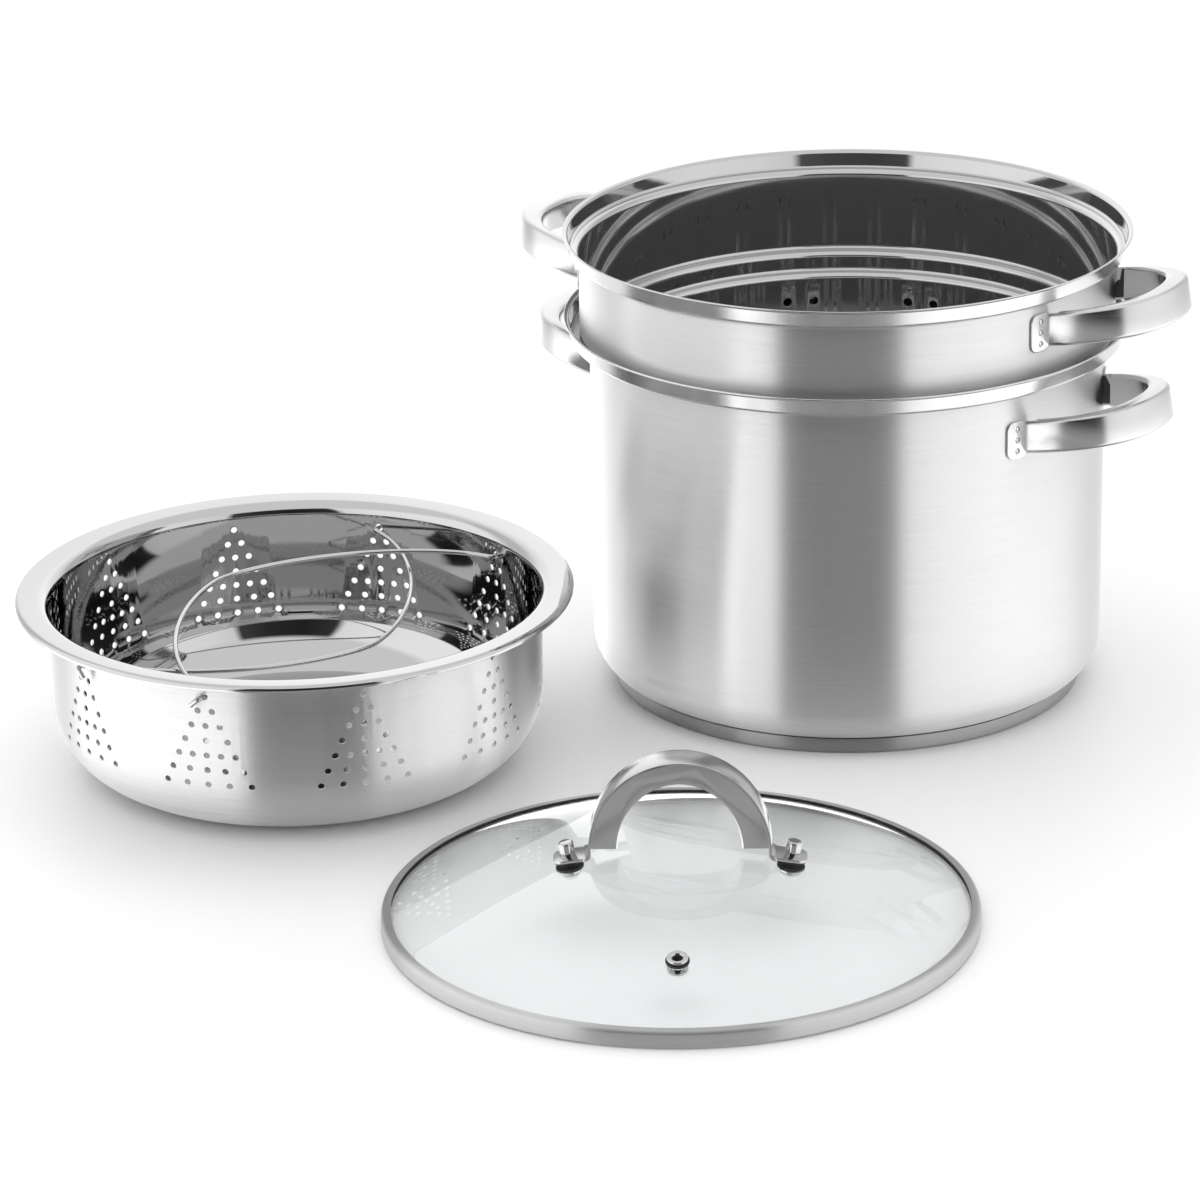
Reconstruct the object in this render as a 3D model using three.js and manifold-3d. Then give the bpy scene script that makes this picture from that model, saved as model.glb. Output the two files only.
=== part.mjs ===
// A stainless steel pasta pot set: stock pot with its perforated insert seated in it,
// a steamer basket with two wire bails beside it, and a glass lid lying in front.
// Millimetres, +Z up, origin on the table under the pot's axis, pot handles along X.

import * as THREE from 'three';
import { mergeGeometries, mergeVertices } from 'three/addons/utils/BufferGeometryUtils.js';
import Module from 'manifold-3d';

const wasm = await Module();
wasm.setup();

// Shared sizes
const TURN_SEGMENTS = 36;
const CLEARANCE = 0.3;
const HOLE_SIDES = 5;
const PLATE_CORNER_STEPS = 3;

// Pot
const POT_RADIUS = 121;
const POT_SHEET = 0.8;
const POT_CORNER = 17;
const POT_LEDGE_HEIGHT = 171;
const BASE_HEIGHT = 6.3;
const BASE_INSET = 10;
const BASE_CAP_SHEET = 0.6;
const BASE_CAP_EDGE = 1.5;

// Rim and lid seat, alike on the pot and the insert
const RIM_FLARE = 12;
const RIM_HEIGHT = 8.4;
const SEAT_INSET = 3.6;
const LIP_INSET = 1.7;
const LIP_CURL = 1.6;
const NECK_FILLET = 2.5;
const SEAT_FILLET = 2;

// Insert
const INSERT_SHEET = 0.7;
const COLLAR_INSET = 3.9;
const COLLAR_HEIGHT = 40.6;
const STEP_CLEARANCE = 0.9;
const STEP_HEIGHT = 9.5;
const STEP_WIDTH = 4.7;
const STEP_FILLET = 1.6;
const INSERT_DEPTH = 141;
const INSERT_CORNER = 20;
const INSERT_TURN = 5.5;
const INSERT_HANDLE_TURN = -2;
const INSERT_HOLE = 4.4;
const INSERT_HOLE_PAIRS = 12;
const INSERT_PAIR_ANGLE = 6.6;
const INSERT_ROWS = 4;
const INSERT_ROW_PITCH = 27;
const INSERT_TOP_ROW = 13.3;
const FLOOR_HOLE_RINGS = [[0, 1], [33, 6], [66, 12]];

// Side handles
const HANDLE_HALF_WIDTH = 40;
const HANDLE_REACH = 43.2;
const HANDLE_HEIGHT = 15.8;
const HANDLE_TILT = 10.3;
const HANDLE_END_WIDTH = 11.5;
const HANDLE_LEG_WIDTH = 4.6;
const HANDLE_SHEET = 1.1;
const HANDLE_EDGE = 1.4;
const HANDLE_SQUARENESS = 2.4;
const HANDLE_STEPS = 10;
const HANDLE_END_GAP = 4.5;
const HANDLE_TAB_WIDTH = 11.8;
const HANDLE_TAB_HEIGHT = 18;
const HANDLE_TAB_CORNER = 4;
const POT_HANDLE_DROP = 32.5;
const INSERT_HANDLE_DROP = 23.3;

// Basket
const BASKET_SHEET = 0.7;
const BASKET_CLEARANCE = 1;
const BASKET_HEIGHT = 84.2;
const BASKET_CORNER = 35;
const FLANGE_CLEARANCE = 1.6;
const FLANGE_RISE = 1.2;
const FLANGE_FILLET = 3;
const FLANGE_LIP = 3;
const BASKET_GROUPS = 10;
const BASKET_SEGMENTS = 3 * BASKET_GROUPS;
const BASKET_ROWS = [1, 2, 3, 3, 5, 5, 5];
const BASKET_ROW_PITCH = 7;
const BASKET_TOP_ROW = 11.9;
const BASKET_ROW_SPREAD = 3.4;
const BASKET_HOLE = 3;
const BASKET_TURN = -4;
const BASKET_DIRECTION = -126.9;
const BASKET_GAP = 15.5;

// Bails
const WIRE = 2.2;
const BAIL_HOLE_CLEARANCE = 1;
const BAIL_HOLE_STEPS = 2;
const BAIL_REACH = 80;
const BAIL_SHARPNESS = 1.55;
const BAIL_INSET = 4.5;
const BAIL_HOOK_OUT = 4.3;
const BAIL_HOOK_LENGTH = 5.6;
const BAIL_HOOK_ANGLE = -45;
const BAIL_BEND = 2.4;
const BAIL_ARCH_STEPS = 26;
const BAIL_RIGHT_LEAN = 3.5;
const BAIL_LEFT_LEAN = -6;
const WIRE_SIDES = 6;

// Lid
const LID_CLEARANCE = 0.9;
const LID_BAND_HEIGHT = 8;
const LID_BAND_LIP = 4.5;
const LID_BAND_SHEET = 0.8;
const LID_HEIGHT = 31;
const GLASS = 4;
const GLASS_STEPS = 5;
const LID_GAP = 43.6;
const LID_BASKET_GAP = 2.3;
const LID_TURN = 30;

// Lid handle and its fasteners
const ARCH_HALF_WIDTH = 39;
const ARCH_TOP = 75.3;
const ARCH_DEPTH = 16;
const ARCH_SIDE_WIDTH = 12.5;
const ARCH_TOP_WIDTH = 10;
const ARCH_FACE_INSET = 0.8;
const ARCH_FACE_BOTTOM = 36;
const ARCH_SHEET = 1.2;
const ARCH_STEPS = 16;
const FOOT_SPACING = 95;
const FOOT_END = 6.4;
const FOOT_HALF_WIDTH = 6.8;
const GASKET_RADIUS = 6.4;
const GASKET = 1;
const NUT_RADIUS = 3.4;
const NUT_HEIGHT = 6;
const NUT_ROOF = 1.2;
const NUT_CHAMFER = 0.7;
const SCREW_RADIUS = 2;
const SCREW_HEAD_RADIUS = 4.6;
const SCREW_HEAD = 2.2;
const WASHER_RADIUS = 6;
const WASHER = 1.5;
const GLASS_HOLE_RADIUS = 3.2;
const FASTENER_SEGMENTS = 12;

// Steam vent
const VENT_OFFSET = 86;
const VENT_FLANGE_RADIUS = 4.8;
const VENT_FLANGE = 1.3;
const VENT_TUBE_RADIUS = 3;
const VENT_BORE_RADIUS = 2;
const VENT_FLARE_RADIUS = 4.4;
const VENT_GASKET_RADIUS = 5.1;
const VENT_GASKET = 1;

// Sizes that follow from the ones above
const BASE_RADIUS = POT_RADIUS - BASE_INSET;
const RIM_RADIUS = POT_RADIUS + RIM_FLARE;
const SEAT_RADIUS = RIM_RADIUS - SEAT_INSET;
const POT_RIM_HEIGHT = POT_LEDGE_HEIGHT + RIM_HEIGHT;
const COLLAR_RADIUS = SEAT_RADIUS - COLLAR_INSET;
const SHOULDER_HEIGHT = POT_LEDGE_HEIGHT + CLEARANCE;
const INSERT_LEDGE_HEIGHT = SHOULDER_HEIGHT + COLLAR_HEIGHT;
const INSERT_RIM_HEIGHT = INSERT_LEDGE_HEIGHT + RIM_HEIGHT;
const STEP_RADIUS = POT_RADIUS - POT_SHEET - STEP_CLEARANCE;
const INSERT_RADIUS = STEP_RADIUS - STEP_WIDTH;
const STEP_BOTTOM = SHOULDER_HEIGHT - STEP_HEIGHT;
const INSERT_FLOOR = SHOULDER_HEIGHT - INSERT_DEPTH;
const BASKET_RADIUS = INSERT_RADIUS - INSERT_SHEET - BASKET_CLEARANCE;
const FLANGE_RADIUS = SEAT_RADIUS - FLANGE_CLEARANCE;
const BASKET_TOP_HOLE = BASKET_HEIGHT - BASKET_TOP_ROW;
const LID_RADIUS = SEAT_RADIUS - LID_CLEARANCE;

const radians = THREE.MathUtils.degToRad;

// Outlines

// One corner of an outline: radius, height, and the fillet there with its number of steps.
function corner(radius, height, fillet = 0, steps = 1) {
  return { point: new THREE.Vector2(radius, height), fillet, steps };
}

// Turns a list of corners into points, with each fillet as an arc tangent to both its sides.
function rounded(corners) {
  const points = [];
  corners.forEach(({ point, fillet, steps }, i) => {
    if (fillet === 0) {
      points.push(point);
      return;
    }
    const back = corners[i - 1].point.clone().sub(point).normalize();
    const ahead = corners[i + 1].point.clone().sub(point).normalize();
    const half = Math.acos(back.dot(ahead)) / 2;
    const middle = back.clone().add(ahead).normalize();
    const centre = point.clone().addScaledVector(middle, fillet / Math.sin(half));
    const start = point.clone().addScaledVector(back, fillet / Math.tan(half));
    const turn = Math.sign(back.cross(ahead)) * (Math.PI - 2 * half);
    for (let k = 0; k <= steps; k += 1) {
      points.push(start.clone().rotateAround(centre, -turn * k / steps));
    }
  });
  return points;
}

// The outline of a sheet whose outer face follows the line, with its thickness on the line's left.
function sheetOutline(line, thickness) {
  const inner = line.map((point, i) => {
    const before = line[Math.max(i - 1, 0)];
    const after = line[Math.min(i + 1, line.length - 1)];
    const arriving = point.clone().sub(before).normalize();
    const leaving = after.clone().sub(point).normalize();
    const along = arriving.clone().add(leaving).normalize();
    const mitre = Math.max(along.dot(arriving), along.dot(leaving));
    const left = new THREE.Vector2(-along.y, along.x);
    const moved = point.clone().addScaledVector(left, thickness / mitre);
    if (point.x === 0) {
      moved.x = 0;
    }
    return moved;
  });
  return [...line, ...inner.reverse()];
}

// Points along a superellipse arch from (halfWidth, 0) over (0, reach) to (-halfWidth, 0).
function archPoints(halfWidth, reach, squareness, steps) {
  const points = [];
  for (let k = 0; k <= steps; k += 1) {
    const angle = Math.PI * k / steps;
    const across = Math.cos(angle);
    const up = Math.sin(angle);
    points.push(new THREE.Vector2(
      halfWidth * Math.sign(across) * Math.abs(across) ** (2 / squareness),
      reach * Math.abs(up) ** (2 / squareness),
    ));
  }
  return points;
}

// A plate outline with its corners rounded, centred on the origin.
function roundedPlate(width, height, fillet) {
  const x = width / 2;
  const y = height / 2;
  const signs = [[1, 1], [-1, 1], [-1, -1], [1, -1]];
  const points = [];
  signs.forEach(([signX, signY], quarter) => {
    const centre = new THREE.Vector2(signX * (x - fillet), signY * (y - fillet));
    for (let k = 0; k <= PLATE_CORNER_STEPS; k += 1) {
      const angle = Math.PI / 2 * (quarter + k / PLATE_CORNER_STEPS);
      points.push(new THREE.Vector2(fillet, 0).rotateAround(new THREE.Vector2(), angle).add(centre));
    }
  });
  return points;
}

// Solids

// Merges shared vertices, drops triangles of no area and turns the faces outwards.
function closed(geometry) {
  geometry.deleteAttribute('normal');
  geometry.deleteAttribute('uv');
  const merged = mergeVertices(geometry, 1e-4);
  const source = merged.index.array;
  const kept = [];
  let volume = 0;
  const [a, b, c] = [new THREE.Vector3(), new THREE.Vector3(), new THREE.Vector3()];
  for (let i = 0; i < source.length; i += 3) {
    const [p, q, r] = [source[i], source[i + 1], source[i + 2]];
    if (p !== q && q !== r && r !== p) {
      kept.push(p, q, r);
      a.fromBufferAttribute(merged.attributes.position, p);
      b.fromBufferAttribute(merged.attributes.position, q);
      c.fromBufferAttribute(merged.attributes.position, r);
      volume += a.dot(b.cross(c));
    }
  }
  if (volume < 0) {
    kept.reverse();
  }
  merged.setIndex(kept);
  return merged;
}

function toManifold(geometry) {
  return new wasm.Manifold(new wasm.Mesh({
    numProp: 3,
    vertProperties: new Float32Array(geometry.attributes.position.array),
    triVerts: new Uint32Array(geometry.index.array),
  }));
}

function fromManifold(solid) {
  const mesh = solid.getMesh();
  const geometry = new THREE.BufferGeometry();
  geometry.setAttribute('position', new THREE.BufferAttribute(mesh.vertProperties, 3));
  geometry.setIndex(new THREE.BufferAttribute(mesh.triVerts, 1));
  return geometry;
}

function joined(first, ...others) {
  return fromManifold(others.reduce((sum, other) => sum.add(toManifold(other)), toManifold(first)));
}

function cut(body, ...tools) {
  return fromManifold(tools.reduce((rest, tool) => rest.subtract(toManifold(tool)), toManifold(body)));
}

function common(first, second) {
  return fromManifold(toManifold(first).intersect(toManifold(second)));
}

// Turns an outline about Z. An outline that keeps off the axis is closed back to its first point.
function turned(outline, segments = TURN_SEGMENTS) {
  const onAxis = outline[0].x === 0;
  const points = onAxis ? outline : [...outline, outline[0]];
  return closed(new THREE.LatheGeometry(points, segments).rotateX(Math.PI / 2));
}

// A plain disc or cylinder about Z.
function disc(radius, bottom, top, segments = TURN_SEGMENTS) {
  return turned([
    new THREE.Vector2(0, bottom),
    new THREE.Vector2(radius, bottom),
    new THREE.Vector2(radius, top),
    new THREE.Vector2(0, top),
  ], segments);
}

// A ring of rectangular section about Z.
function ring(inner, outer, bottom, top, segments = TURN_SEGMENTS) {
  return turned([
    new THREE.Vector2(inner, bottom),
    new THREE.Vector2(outer, bottom),
    new THREE.Vector2(outer, top),
    new THREE.Vector2(inner, top),
  ], segments);
}

// An outline in the XY plane raised by the given height, with its middle at Z = 0.
function raised(outline, height, edge = 0) {
  const geometry = new THREE.ExtrudeGeometry(new THREE.Shape(outline), {
    depth: height - 2 * edge,
    bevelEnabled: edge > 0,
    bevelThickness: edge,
    bevelSize: edge,
    bevelOffset: -edge,
    bevelSegments: 1,
    curveSegments: 1,
  });
  return closed(geometry.translate(0, 0, edge - height / 2));
}

// One drill that points along X from the axis, turned to its angle at its height.
function sideDrill(diameter, angle, radius, height, length) {
  const drill = new THREE.CylinderGeometry(diameter / 2, diameter / 2, length, HOLE_SIDES);
  drill.rotateZ(Math.PI / 2).translate(radius, 0, height).rotateZ(radians(angle));
  return closed(drill);
}

function drilled(body, drills) {
  return cut(body, mergeGeometries(drills));
}

// Materials
const brushedSteel = new THREE.MeshStandardMaterial({ color: 0xc9cacb, roughness: 0.34, metalness: 1 });
const polishedSteel = new THREE.MeshStandardMaterial({ color: 0xd6d7d8, roughness: 0.12, metalness: 1 });
const aluminium = new THREE.MeshStandardMaterial({ color: 0xb4b6b8, roughness: 0.5, metalness: 1 });
const clearGlass = new THREE.MeshStandardMaterial({
  color: 0xe4eeea,
  roughness: 0.05,
  metalness: 0,
  transparent: true,
  opacity: 0.3,
});
const blackSilicone = new THREE.MeshStandardMaterial({ color: 0x1c1c1d, roughness: 0.8, metalness: 0 });

function part(name, geometry, material) {
  geometry.computeVertexNormals();
  const mesh = new THREE.Mesh(geometry, material);
  mesh.name = name;
  return mesh;
}

function group(...children) {
  return new THREE.Group().add(...children);
}

// Vessels

// The corners of a flared rim on a wall: neck, lid seat and lip, along the sheet's outer face.
function rimCorners(wallRadius, ledgeHeight, sheet) {
  const underside = ledgeHeight - sheet;
  const rimHeight = ledgeHeight + RIM_HEIGHT;
  return [
    corner(wallRadius, underside, NECK_FILLET, 2),
    corner(SEAT_RADIUS + sheet, underside, SEAT_FILLET, 1),
    corner(RIM_RADIUS - LIP_INSET, rimHeight - LIP_CURL),
    corner(RIM_RADIUS, rimHeight - sheet),
  ];
}

function potBody() {
  const line = rounded([
    corner(0, BASE_HEIGHT),
    corner(POT_RADIUS, BASE_HEIGHT, POT_CORNER, 3),
    ...rimCorners(POT_RADIUS, POT_LEDGE_HEIGHT, POT_SHEET),
  ]);
  return turned(sheetOutline(line, POT_SHEET));
}

// Height of the pot's rounded bottom edge above the table at a radius past its flat floor.
function potUnderside(radius) {
  const past = Math.max(radius - (POT_RADIUS - POT_CORNER), 0);
  return BASE_HEIGHT + POT_CORNER - Math.sqrt(POT_CORNER ** 2 - past ** 2);
}

function baseCap() {
  const top = potUnderside(BASE_RADIUS - BASE_CAP_SHEET) - CLEARANCE;
  const line = rounded([
    corner(0, 0),
    corner(BASE_RADIUS, 0, BASE_CAP_EDGE, 1),
    corner(BASE_RADIUS, top),
  ]);
  return turned(sheetOutline(line, BASE_CAP_SHEET));
}

function baseCore() {
  const radius = BASE_RADIUS - BASE_CAP_SHEET - BASE_CAP_EDGE;
  return disc(radius, BASE_CAP_SHEET + CLEARANCE, BASE_HEIGHT - CLEARANCE);
}

function insertHoles() {
  const topRow = STEP_BOTTOM - INSERT_TOP_ROW;
  const wallDrillLength = INSERT_CORNER;
  const drills = [];
  for (let pair = 0; pair < INSERT_HOLE_PAIRS; pair += 1) {
    const middle = 180 / TURN_SEGMENTS + 360 * pair / INSERT_HOLE_PAIRS;
    for (let row = 0; row < INSERT_ROWS; row += 1) {
      const height = topRow - row * INSERT_ROW_PITCH;
      [-1, 1].forEach((side) => {
        const angle = middle + side * INSERT_PAIR_ANGLE / 2;
        drills.push(sideDrill(INSERT_HOLE, angle, INSERT_RADIUS, height, wallDrillLength));
      });
    }
  }
  const below = INSERT_FLOOR - INSERT_SHEET;
  const above = INSERT_FLOOR + 2 * INSERT_SHEET;
  FLOOR_HOLE_RINGS.forEach(([radius, count]) => {
    for (let k = 0; k < count; k += 1) {
      const hole = disc(INSERT_HOLE / 2, below, above, HOLE_SIDES);
      drills.push(hole.translate(radius, 0, 0).rotateZ(2 * Math.PI * k / count));
    }
  });
  return drills;
}

function insertBody() {
  const line = rounded([
    corner(0, INSERT_FLOOR),
    corner(INSERT_RADIUS, INSERT_FLOOR, INSERT_CORNER, 3),
    corner(INSERT_RADIUS, STEP_BOTTOM),
    corner(STEP_RADIUS, STEP_BOTTOM, STEP_FILLET, 1),
    corner(STEP_RADIUS, SHOULDER_HEIGHT),
    corner(COLLAR_RADIUS, SHOULDER_HEIGHT, STEP_FILLET, 1),
    ...rimCorners(COLLAR_RADIUS, INSERT_LEDGE_HEIGHT, INSERT_SHEET),
  ]);
  return drilled(turned(sheetOutline(line, INSERT_SHEET)), insertHoles());
}

// The angle from a bail's middle direction to the holes at its two ends.
const BAIL_HALF_ANGLE = BAIL_HOLE_STEPS * 360 / BASKET_GROUPS;

// True for a group whose top hole one of the two opposite bails hooks through.
function holdsBail(groupIndex) {
  const middles = [0, BASKET_GROUPS / 2];
  const steps = [BAIL_HOLE_STEPS, BASKET_GROUPS - BAIL_HOLE_STEPS];
  return middles.some((middle) => steps.includes((groupIndex + middle) % BASKET_GROUPS));
}

function basketHoles() {
  const drills = [];
  for (let index = 0; index < BASKET_GROUPS; index += 1) {
    const middle = index * 360 / BASKET_GROUPS;
    BASKET_ROWS.forEach((count, row) => {
      const height = BASKET_TOP_HOLE - row * BASKET_ROW_PITCH;
      const bailHole = row === 0 && holdsBail(index);
      const diameter = bailHole ? WIRE + 2 * BAIL_HOLE_CLEARANCE : BASKET_HOLE;
      for (let k = 0; k < count; k += 1) {
        const share = count === 1 ? 0 : k / (count - 1) - 0.5;
        const angle = middle + share * row * BASKET_ROW_SPREAD;
        drills.push(sideDrill(diameter, angle, BASKET_RADIUS, height, BASKET_CORNER / 2));
      }
    });
  }
  return drills;
}

function basketBody() {
  const underside = BASKET_HEIGHT - BASKET_SHEET;
  const line = rounded([
    corner(0, 0),
    corner(BASKET_RADIUS, 0, BASKET_CORNER, 4),
    corner(BASKET_RADIUS, underside - FLANGE_RISE, FLANGE_FILLET, 2),
    corner(FLANGE_RADIUS - BASKET_SHEET, underside, FLANGE_LIP / 2, 1),
    corner(FLANGE_RADIUS - BASKET_SHEET, BASKET_HEIGHT - FLANGE_LIP),
  ]);
  return drilled(turned(sheetOutline(line, BASKET_SHEET), BASKET_SEGMENTS), basketHoles());
}

// Bails

// A round wire along a list of points, as rings joined by triangles and closed at both ends.
function wire(points, diameter) {
  const count = points.length;
  const positions = [];
  const index = [];
  const tangent = (i) => {
    const after = points[Math.min(i + 1, count - 1)];
    return after.clone().sub(points[Math.max(i - 1, 0)]).normalize();
  };
  let side = new THREE.Vector3(1, 0, 0).cross(tangent(0)).normalize();
  points.forEach((point, i) => {
    const along = tangent(i);
    side = side.clone().addScaledVector(along, -side.dot(along)).normalize();
    const other = along.clone().cross(side);
    for (let k = 0; k < WIRE_SIDES; k += 1) {
      const angle = 2 * Math.PI * k / WIRE_SIDES;
      const spoke = side.clone().multiplyScalar(Math.cos(angle)).addScaledVector(other, Math.sin(angle));
      positions.push(...point.clone().addScaledVector(spoke, diameter / 2).toArray());
    }
  });
  for (let i = 0; i < count - 1; i += 1) {
    for (let k = 0; k < WIRE_SIDES; k += 1) {
      const next = (k + 1) % WIRE_SIDES;
      const [a, b] = [i * WIRE_SIDES + k, i * WIRE_SIDES + next];
      index.push(a, b, b + WIRE_SIDES, a, b + WIRE_SIDES, a + WIRE_SIDES);
    }
  }
  const last = (count - 1) * WIRE_SIDES;
  for (let k = 1; k < WIRE_SIDES - 1; k += 1) {
    index.push(0, k + 1, k, last, last + k, last + k + 1);
  }
  const geometry = new THREE.BufferGeometry();
  geometry.setAttribute('position', new THREE.Float32BufferAttribute(positions, 3));
  geometry.setIndex(index);
  return closed(geometry);
}

// Points round a bend at a corner, from one straight run to the next.
function bend(before, at, after, radius) {
  const start = at.clone().addScaledVector(before.clone().sub(at).normalize(), radius);
  const end = at.clone().addScaledVector(after.clone().sub(at).normalize(), radius);
  return new THREE.QuadraticBezierCurve3(start, at, end).getPoints(3);
}

// The bail hinged on the +X side of the basket, folded in towards -X at its lean.
function bailPoints(lean) {
  const hinge = BASKET_RADIUS * Math.cos(radians(BAIL_HALF_ANGLE));
  const wall = BASKET_RADIUS * Math.sin(radians(BAIL_HALF_ANGLE));
  const swing = (out, angle) => new THREE.Vector3(
    hinge - out * Math.cos(radians(angle)),
    0,
    BASKET_TOP_HOLE + out * Math.sin(radians(angle)),
  );
  const at = (y, out, angle) => swing(out, angle).setY(y);
  const footWidth = wall - BAIL_INSET;
  const arch = archPoints(footWidth, BAIL_REACH, BAIL_SHARPNESS, BAIL_ARCH_STEPS);
  const between = arch.filter((point) => Math.abs(point.x) < footWidth - CLEARANCE);
  const leg = between.map((point) => at(point.x, point.y, lean));
  const ends = [1, -1].map((sign) => {
    const tip = at(sign * (wall + BAIL_HOOK_OUT), BAIL_HOOK_LENGTH, lean + BAIL_HOOK_ANGLE);
    const hook = at(sign * (wall + BAIL_HOOK_OUT), 0, lean);
    const foot = at(sign * footWidth, 0, lean);
    const rise = at(sign * footWidth, BAIL_REACH, lean);
    return [tip, ...bend(tip, hook, foot, BAIL_BEND), ...bend(hook, foot, rise, BAIL_BEND)];
  });
  return [...ends[0], ...leg, ...ends[1].reverse()];
}

function bail(lean) {
  return wire(bailPoints(lean), WIRE);
}

// Side handles. A place holds the wall's radius, the height of the handle's middle and its turn about Z.

// Distance from the axis to the chord between the two ends of a handle.
function chordOf(place) {
  return Math.sqrt(place.radius ** 2 - HANDLE_HALF_WIDTH ** 2);
}

// The loop of a handle as an arch over its chord, drawn in by an inset at its sides and at its end.
function loop(place, sideInset, endInset) {
  const reach = place.radius + HANDLE_REACH - chordOf(place);
  return archPoints(HANDLE_HALF_WIDTH - sideInset, reach - endInset, HANDLE_SQUARENESS, HANDLE_STEPS);
}

// The plan between two loops, with straight runs that carry on back past the chord.
function loopPlan(outer, inner, back) {
  const straight = (points) => {
    const first = points[0].clone().setY(-back);
    const last = points[points.length - 1].clone().setY(-back);
    return [first, ...points, last];
  };
  return [...straight(outer), ...straight(inner).reverse()];
}

// Raises a plan to a band, tilts it up about its chord and sets it in its place.
function handleBand(place, plan, height, edge = 0) {
  const outline = plan.map((point) => new THREE.Vector2(point.y, -point.x));
  const band = raised(outline, height, edge).rotateY(-radians(HANDLE_TILT));
  return band.translate(chordOf(place), 0, place.height).rotateZ(place.turn);
}

// The flat tab at one end of a handle, bent to the wall it is welded to.
function handleTab(place, side) {
  const inner = place.radius + CLEARANCE;
  const low = place.height - HANDLE_TAB_HEIGHT;
  const high = place.height + HANDLE_TAB_HEIGHT;
  const skin = ring(inner, inner + HANDLE_SHEET, low, high);
  const start = Math.asin((HANDLE_HALF_WIDTH - HANDLE_SHEET) / place.radius);
  const angle = start + HANDLE_TAB_WIDTH / 2 / place.radius;
  const outline = roundedPlate(HANDLE_TAB_HEIGHT, HANDLE_TAB_WIDTH, HANDLE_TAB_CORNER);
  const plate = raised(outline, HANDLE_TAB_HEIGHT).rotateY(Math.PI / 2);
  plate.translate(place.radius, 0, place.height).rotateZ(place.turn + side * angle);
  return common(skin, plate);
}

// A hollow loop handle. Its legs stop short of the wall, open, and there only their
// outer sheet runs on to the tabs.
function handle(place) {
  const back = HANDLE_HALF_WIDTH;
  const low = place.height - 2 * HANDLE_TAB_HEIGHT;
  const high = place.height + 2 * HANDLE_TAB_HEIGHT;
  const outer = loop(place, 0, 0);
  const hole = loop(place, HANDLE_LEG_WIDTH, HANDLE_END_WIDTH);
  const underOuter = loop(place, HANDLE_SHEET, HANDLE_SHEET);
  const overHole = loop(place, HANDLE_LEG_WIDTH - HANDLE_SHEET, HANDLE_END_WIDTH - HANDLE_SHEET);
  const band = handleBand(place, loopPlan(outer, hole, back), HANDLE_HEIGHT, HANDLE_EDGE);
  const hollowHeight = HANDLE_HEIGHT - 2 * HANDLE_SHEET;
  const hollow = handleBand(place, loopPlan(underOuter, overHole, 2 * back), hollowHeight);
  const outerSheet = handleBand(place, loopPlan(outer, underOuter, back), 2 * HANDLE_HEIGHT);
  const endCut = cut(disc(place.radius + HANDLE_END_GAP, low, high), outerSheet);
  const wall = disc(place.radius + CLEARANCE, low, high);
  return cut(joined(cut(band, hollow, endCut), handleTab(place, 1), handleTab(place, -1)), wall);
}

function handlePair(prefix, radius, height, turn) {
  const place = { radius, height, turn: radians(turn) };
  const right = part(`${prefix}_handle_right`, handle(place), brushedSteel);
  const left = part(`${prefix}_handle_left`, handle(place), brushedSteel);
  left.rotation.z = Math.PI;
  return [left, right];
}

// Lid

// The glass: a flat brim held by the band, and a dome of this radius rising inside it.
const BRIM_TOP = LID_BAND_HEIGHT - LID_BAND_SHEET - CLEARANCE;
const DOME_EDGE = LID_RADIUS - LID_BAND_LIP - CLEARANCE;
const DOME_RISE = LID_HEIGHT - BRIM_TOP;
const DOME_RADIUS = (DOME_EDGE ** 2 + DOME_RISE ** 2) / (2 * DOME_RISE);

function domeHeight(radius) {
  return LID_HEIGHT - DOME_RADIUS + Math.sqrt(DOME_RADIUS ** 2 - radius ** 2);
}

// Places a group on the dome at an offset along X, standing square to the glass.
function onDome(offset, child) {
  child.position.set(offset, 0, domeHeight(offset));
  child.rotation.y = Math.asin(offset / DOME_RADIUS);
  return child;
}

function domeMatrix(offset) {
  const place = onDome(offset, new THREE.Group());
  place.updateMatrix();
  return place.matrix;
}

function lidGlass() {
  const top = [];
  for (let k = 0; k <= GLASS_STEPS; k += 1) {
    const radius = DOME_EDGE * k / GLASS_STEPS;
    top.push(new THREE.Vector2(radius, domeHeight(radius)));
  }
  top.push(new THREE.Vector2(LID_RADIUS - LID_BAND_SHEET - CLEARANCE, BRIM_TOP));
  const bottom = top.map((point) => new THREE.Vector2(point.x, point.y - GLASS)).reverse();
  const drill = (radius, offset) => {
    const through = disc(radius, -2 * GLASS, GLASS, FASTENER_SEGMENTS);
    return through.applyMatrix4(domeMatrix(offset));
  };
  const vent = drill(VENT_TUBE_RADIUS + CLEARANCE, VENT_OFFSET).rotateZ(-Math.PI / 2);
  return cut(
    turned([...top, ...bottom]),
    drill(GLASS_HOLE_RADIUS, FOOT_SPACING / 2),
    drill(GLASS_HOLE_RADIUS, -FOOT_SPACING / 2),
    vent,
  );
}

function lidRim() {
  const lowerLip = BRIM_TOP - GLASS - CLEARANCE - LID_BAND_SHEET;
  const line = rounded([
    corner(LID_RADIUS - LID_BAND_LIP, lowerLip),
    corner(LID_RADIUS, 0),
    corner(LID_RADIUS, LID_BAND_HEIGHT, LID_BAND_SHEET, 1),
    corner(LID_RADIUS - LID_BAND_LIP, LID_BAND_HEIGHT),
  ]);
  return turned(sheetOutline(line, LID_BAND_SHEET));
}

// Heights in a fastener's stack, measured from the glass along its own axis.
const FOOT_BOTTOM = 2 * CLEARANCE + GASKET;
const FOOT_TOP = FOOT_BOTTOM + ARCH_SHEET;
const WASHER_TOP = -GLASS / Math.cos(Math.asin(FOOT_SPACING / 2 / DOME_RADIUS)) - CLEARANCE;
const SCREW_HEAD_TOP = WASHER_TOP - WASHER - CLEARANCE;

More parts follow.
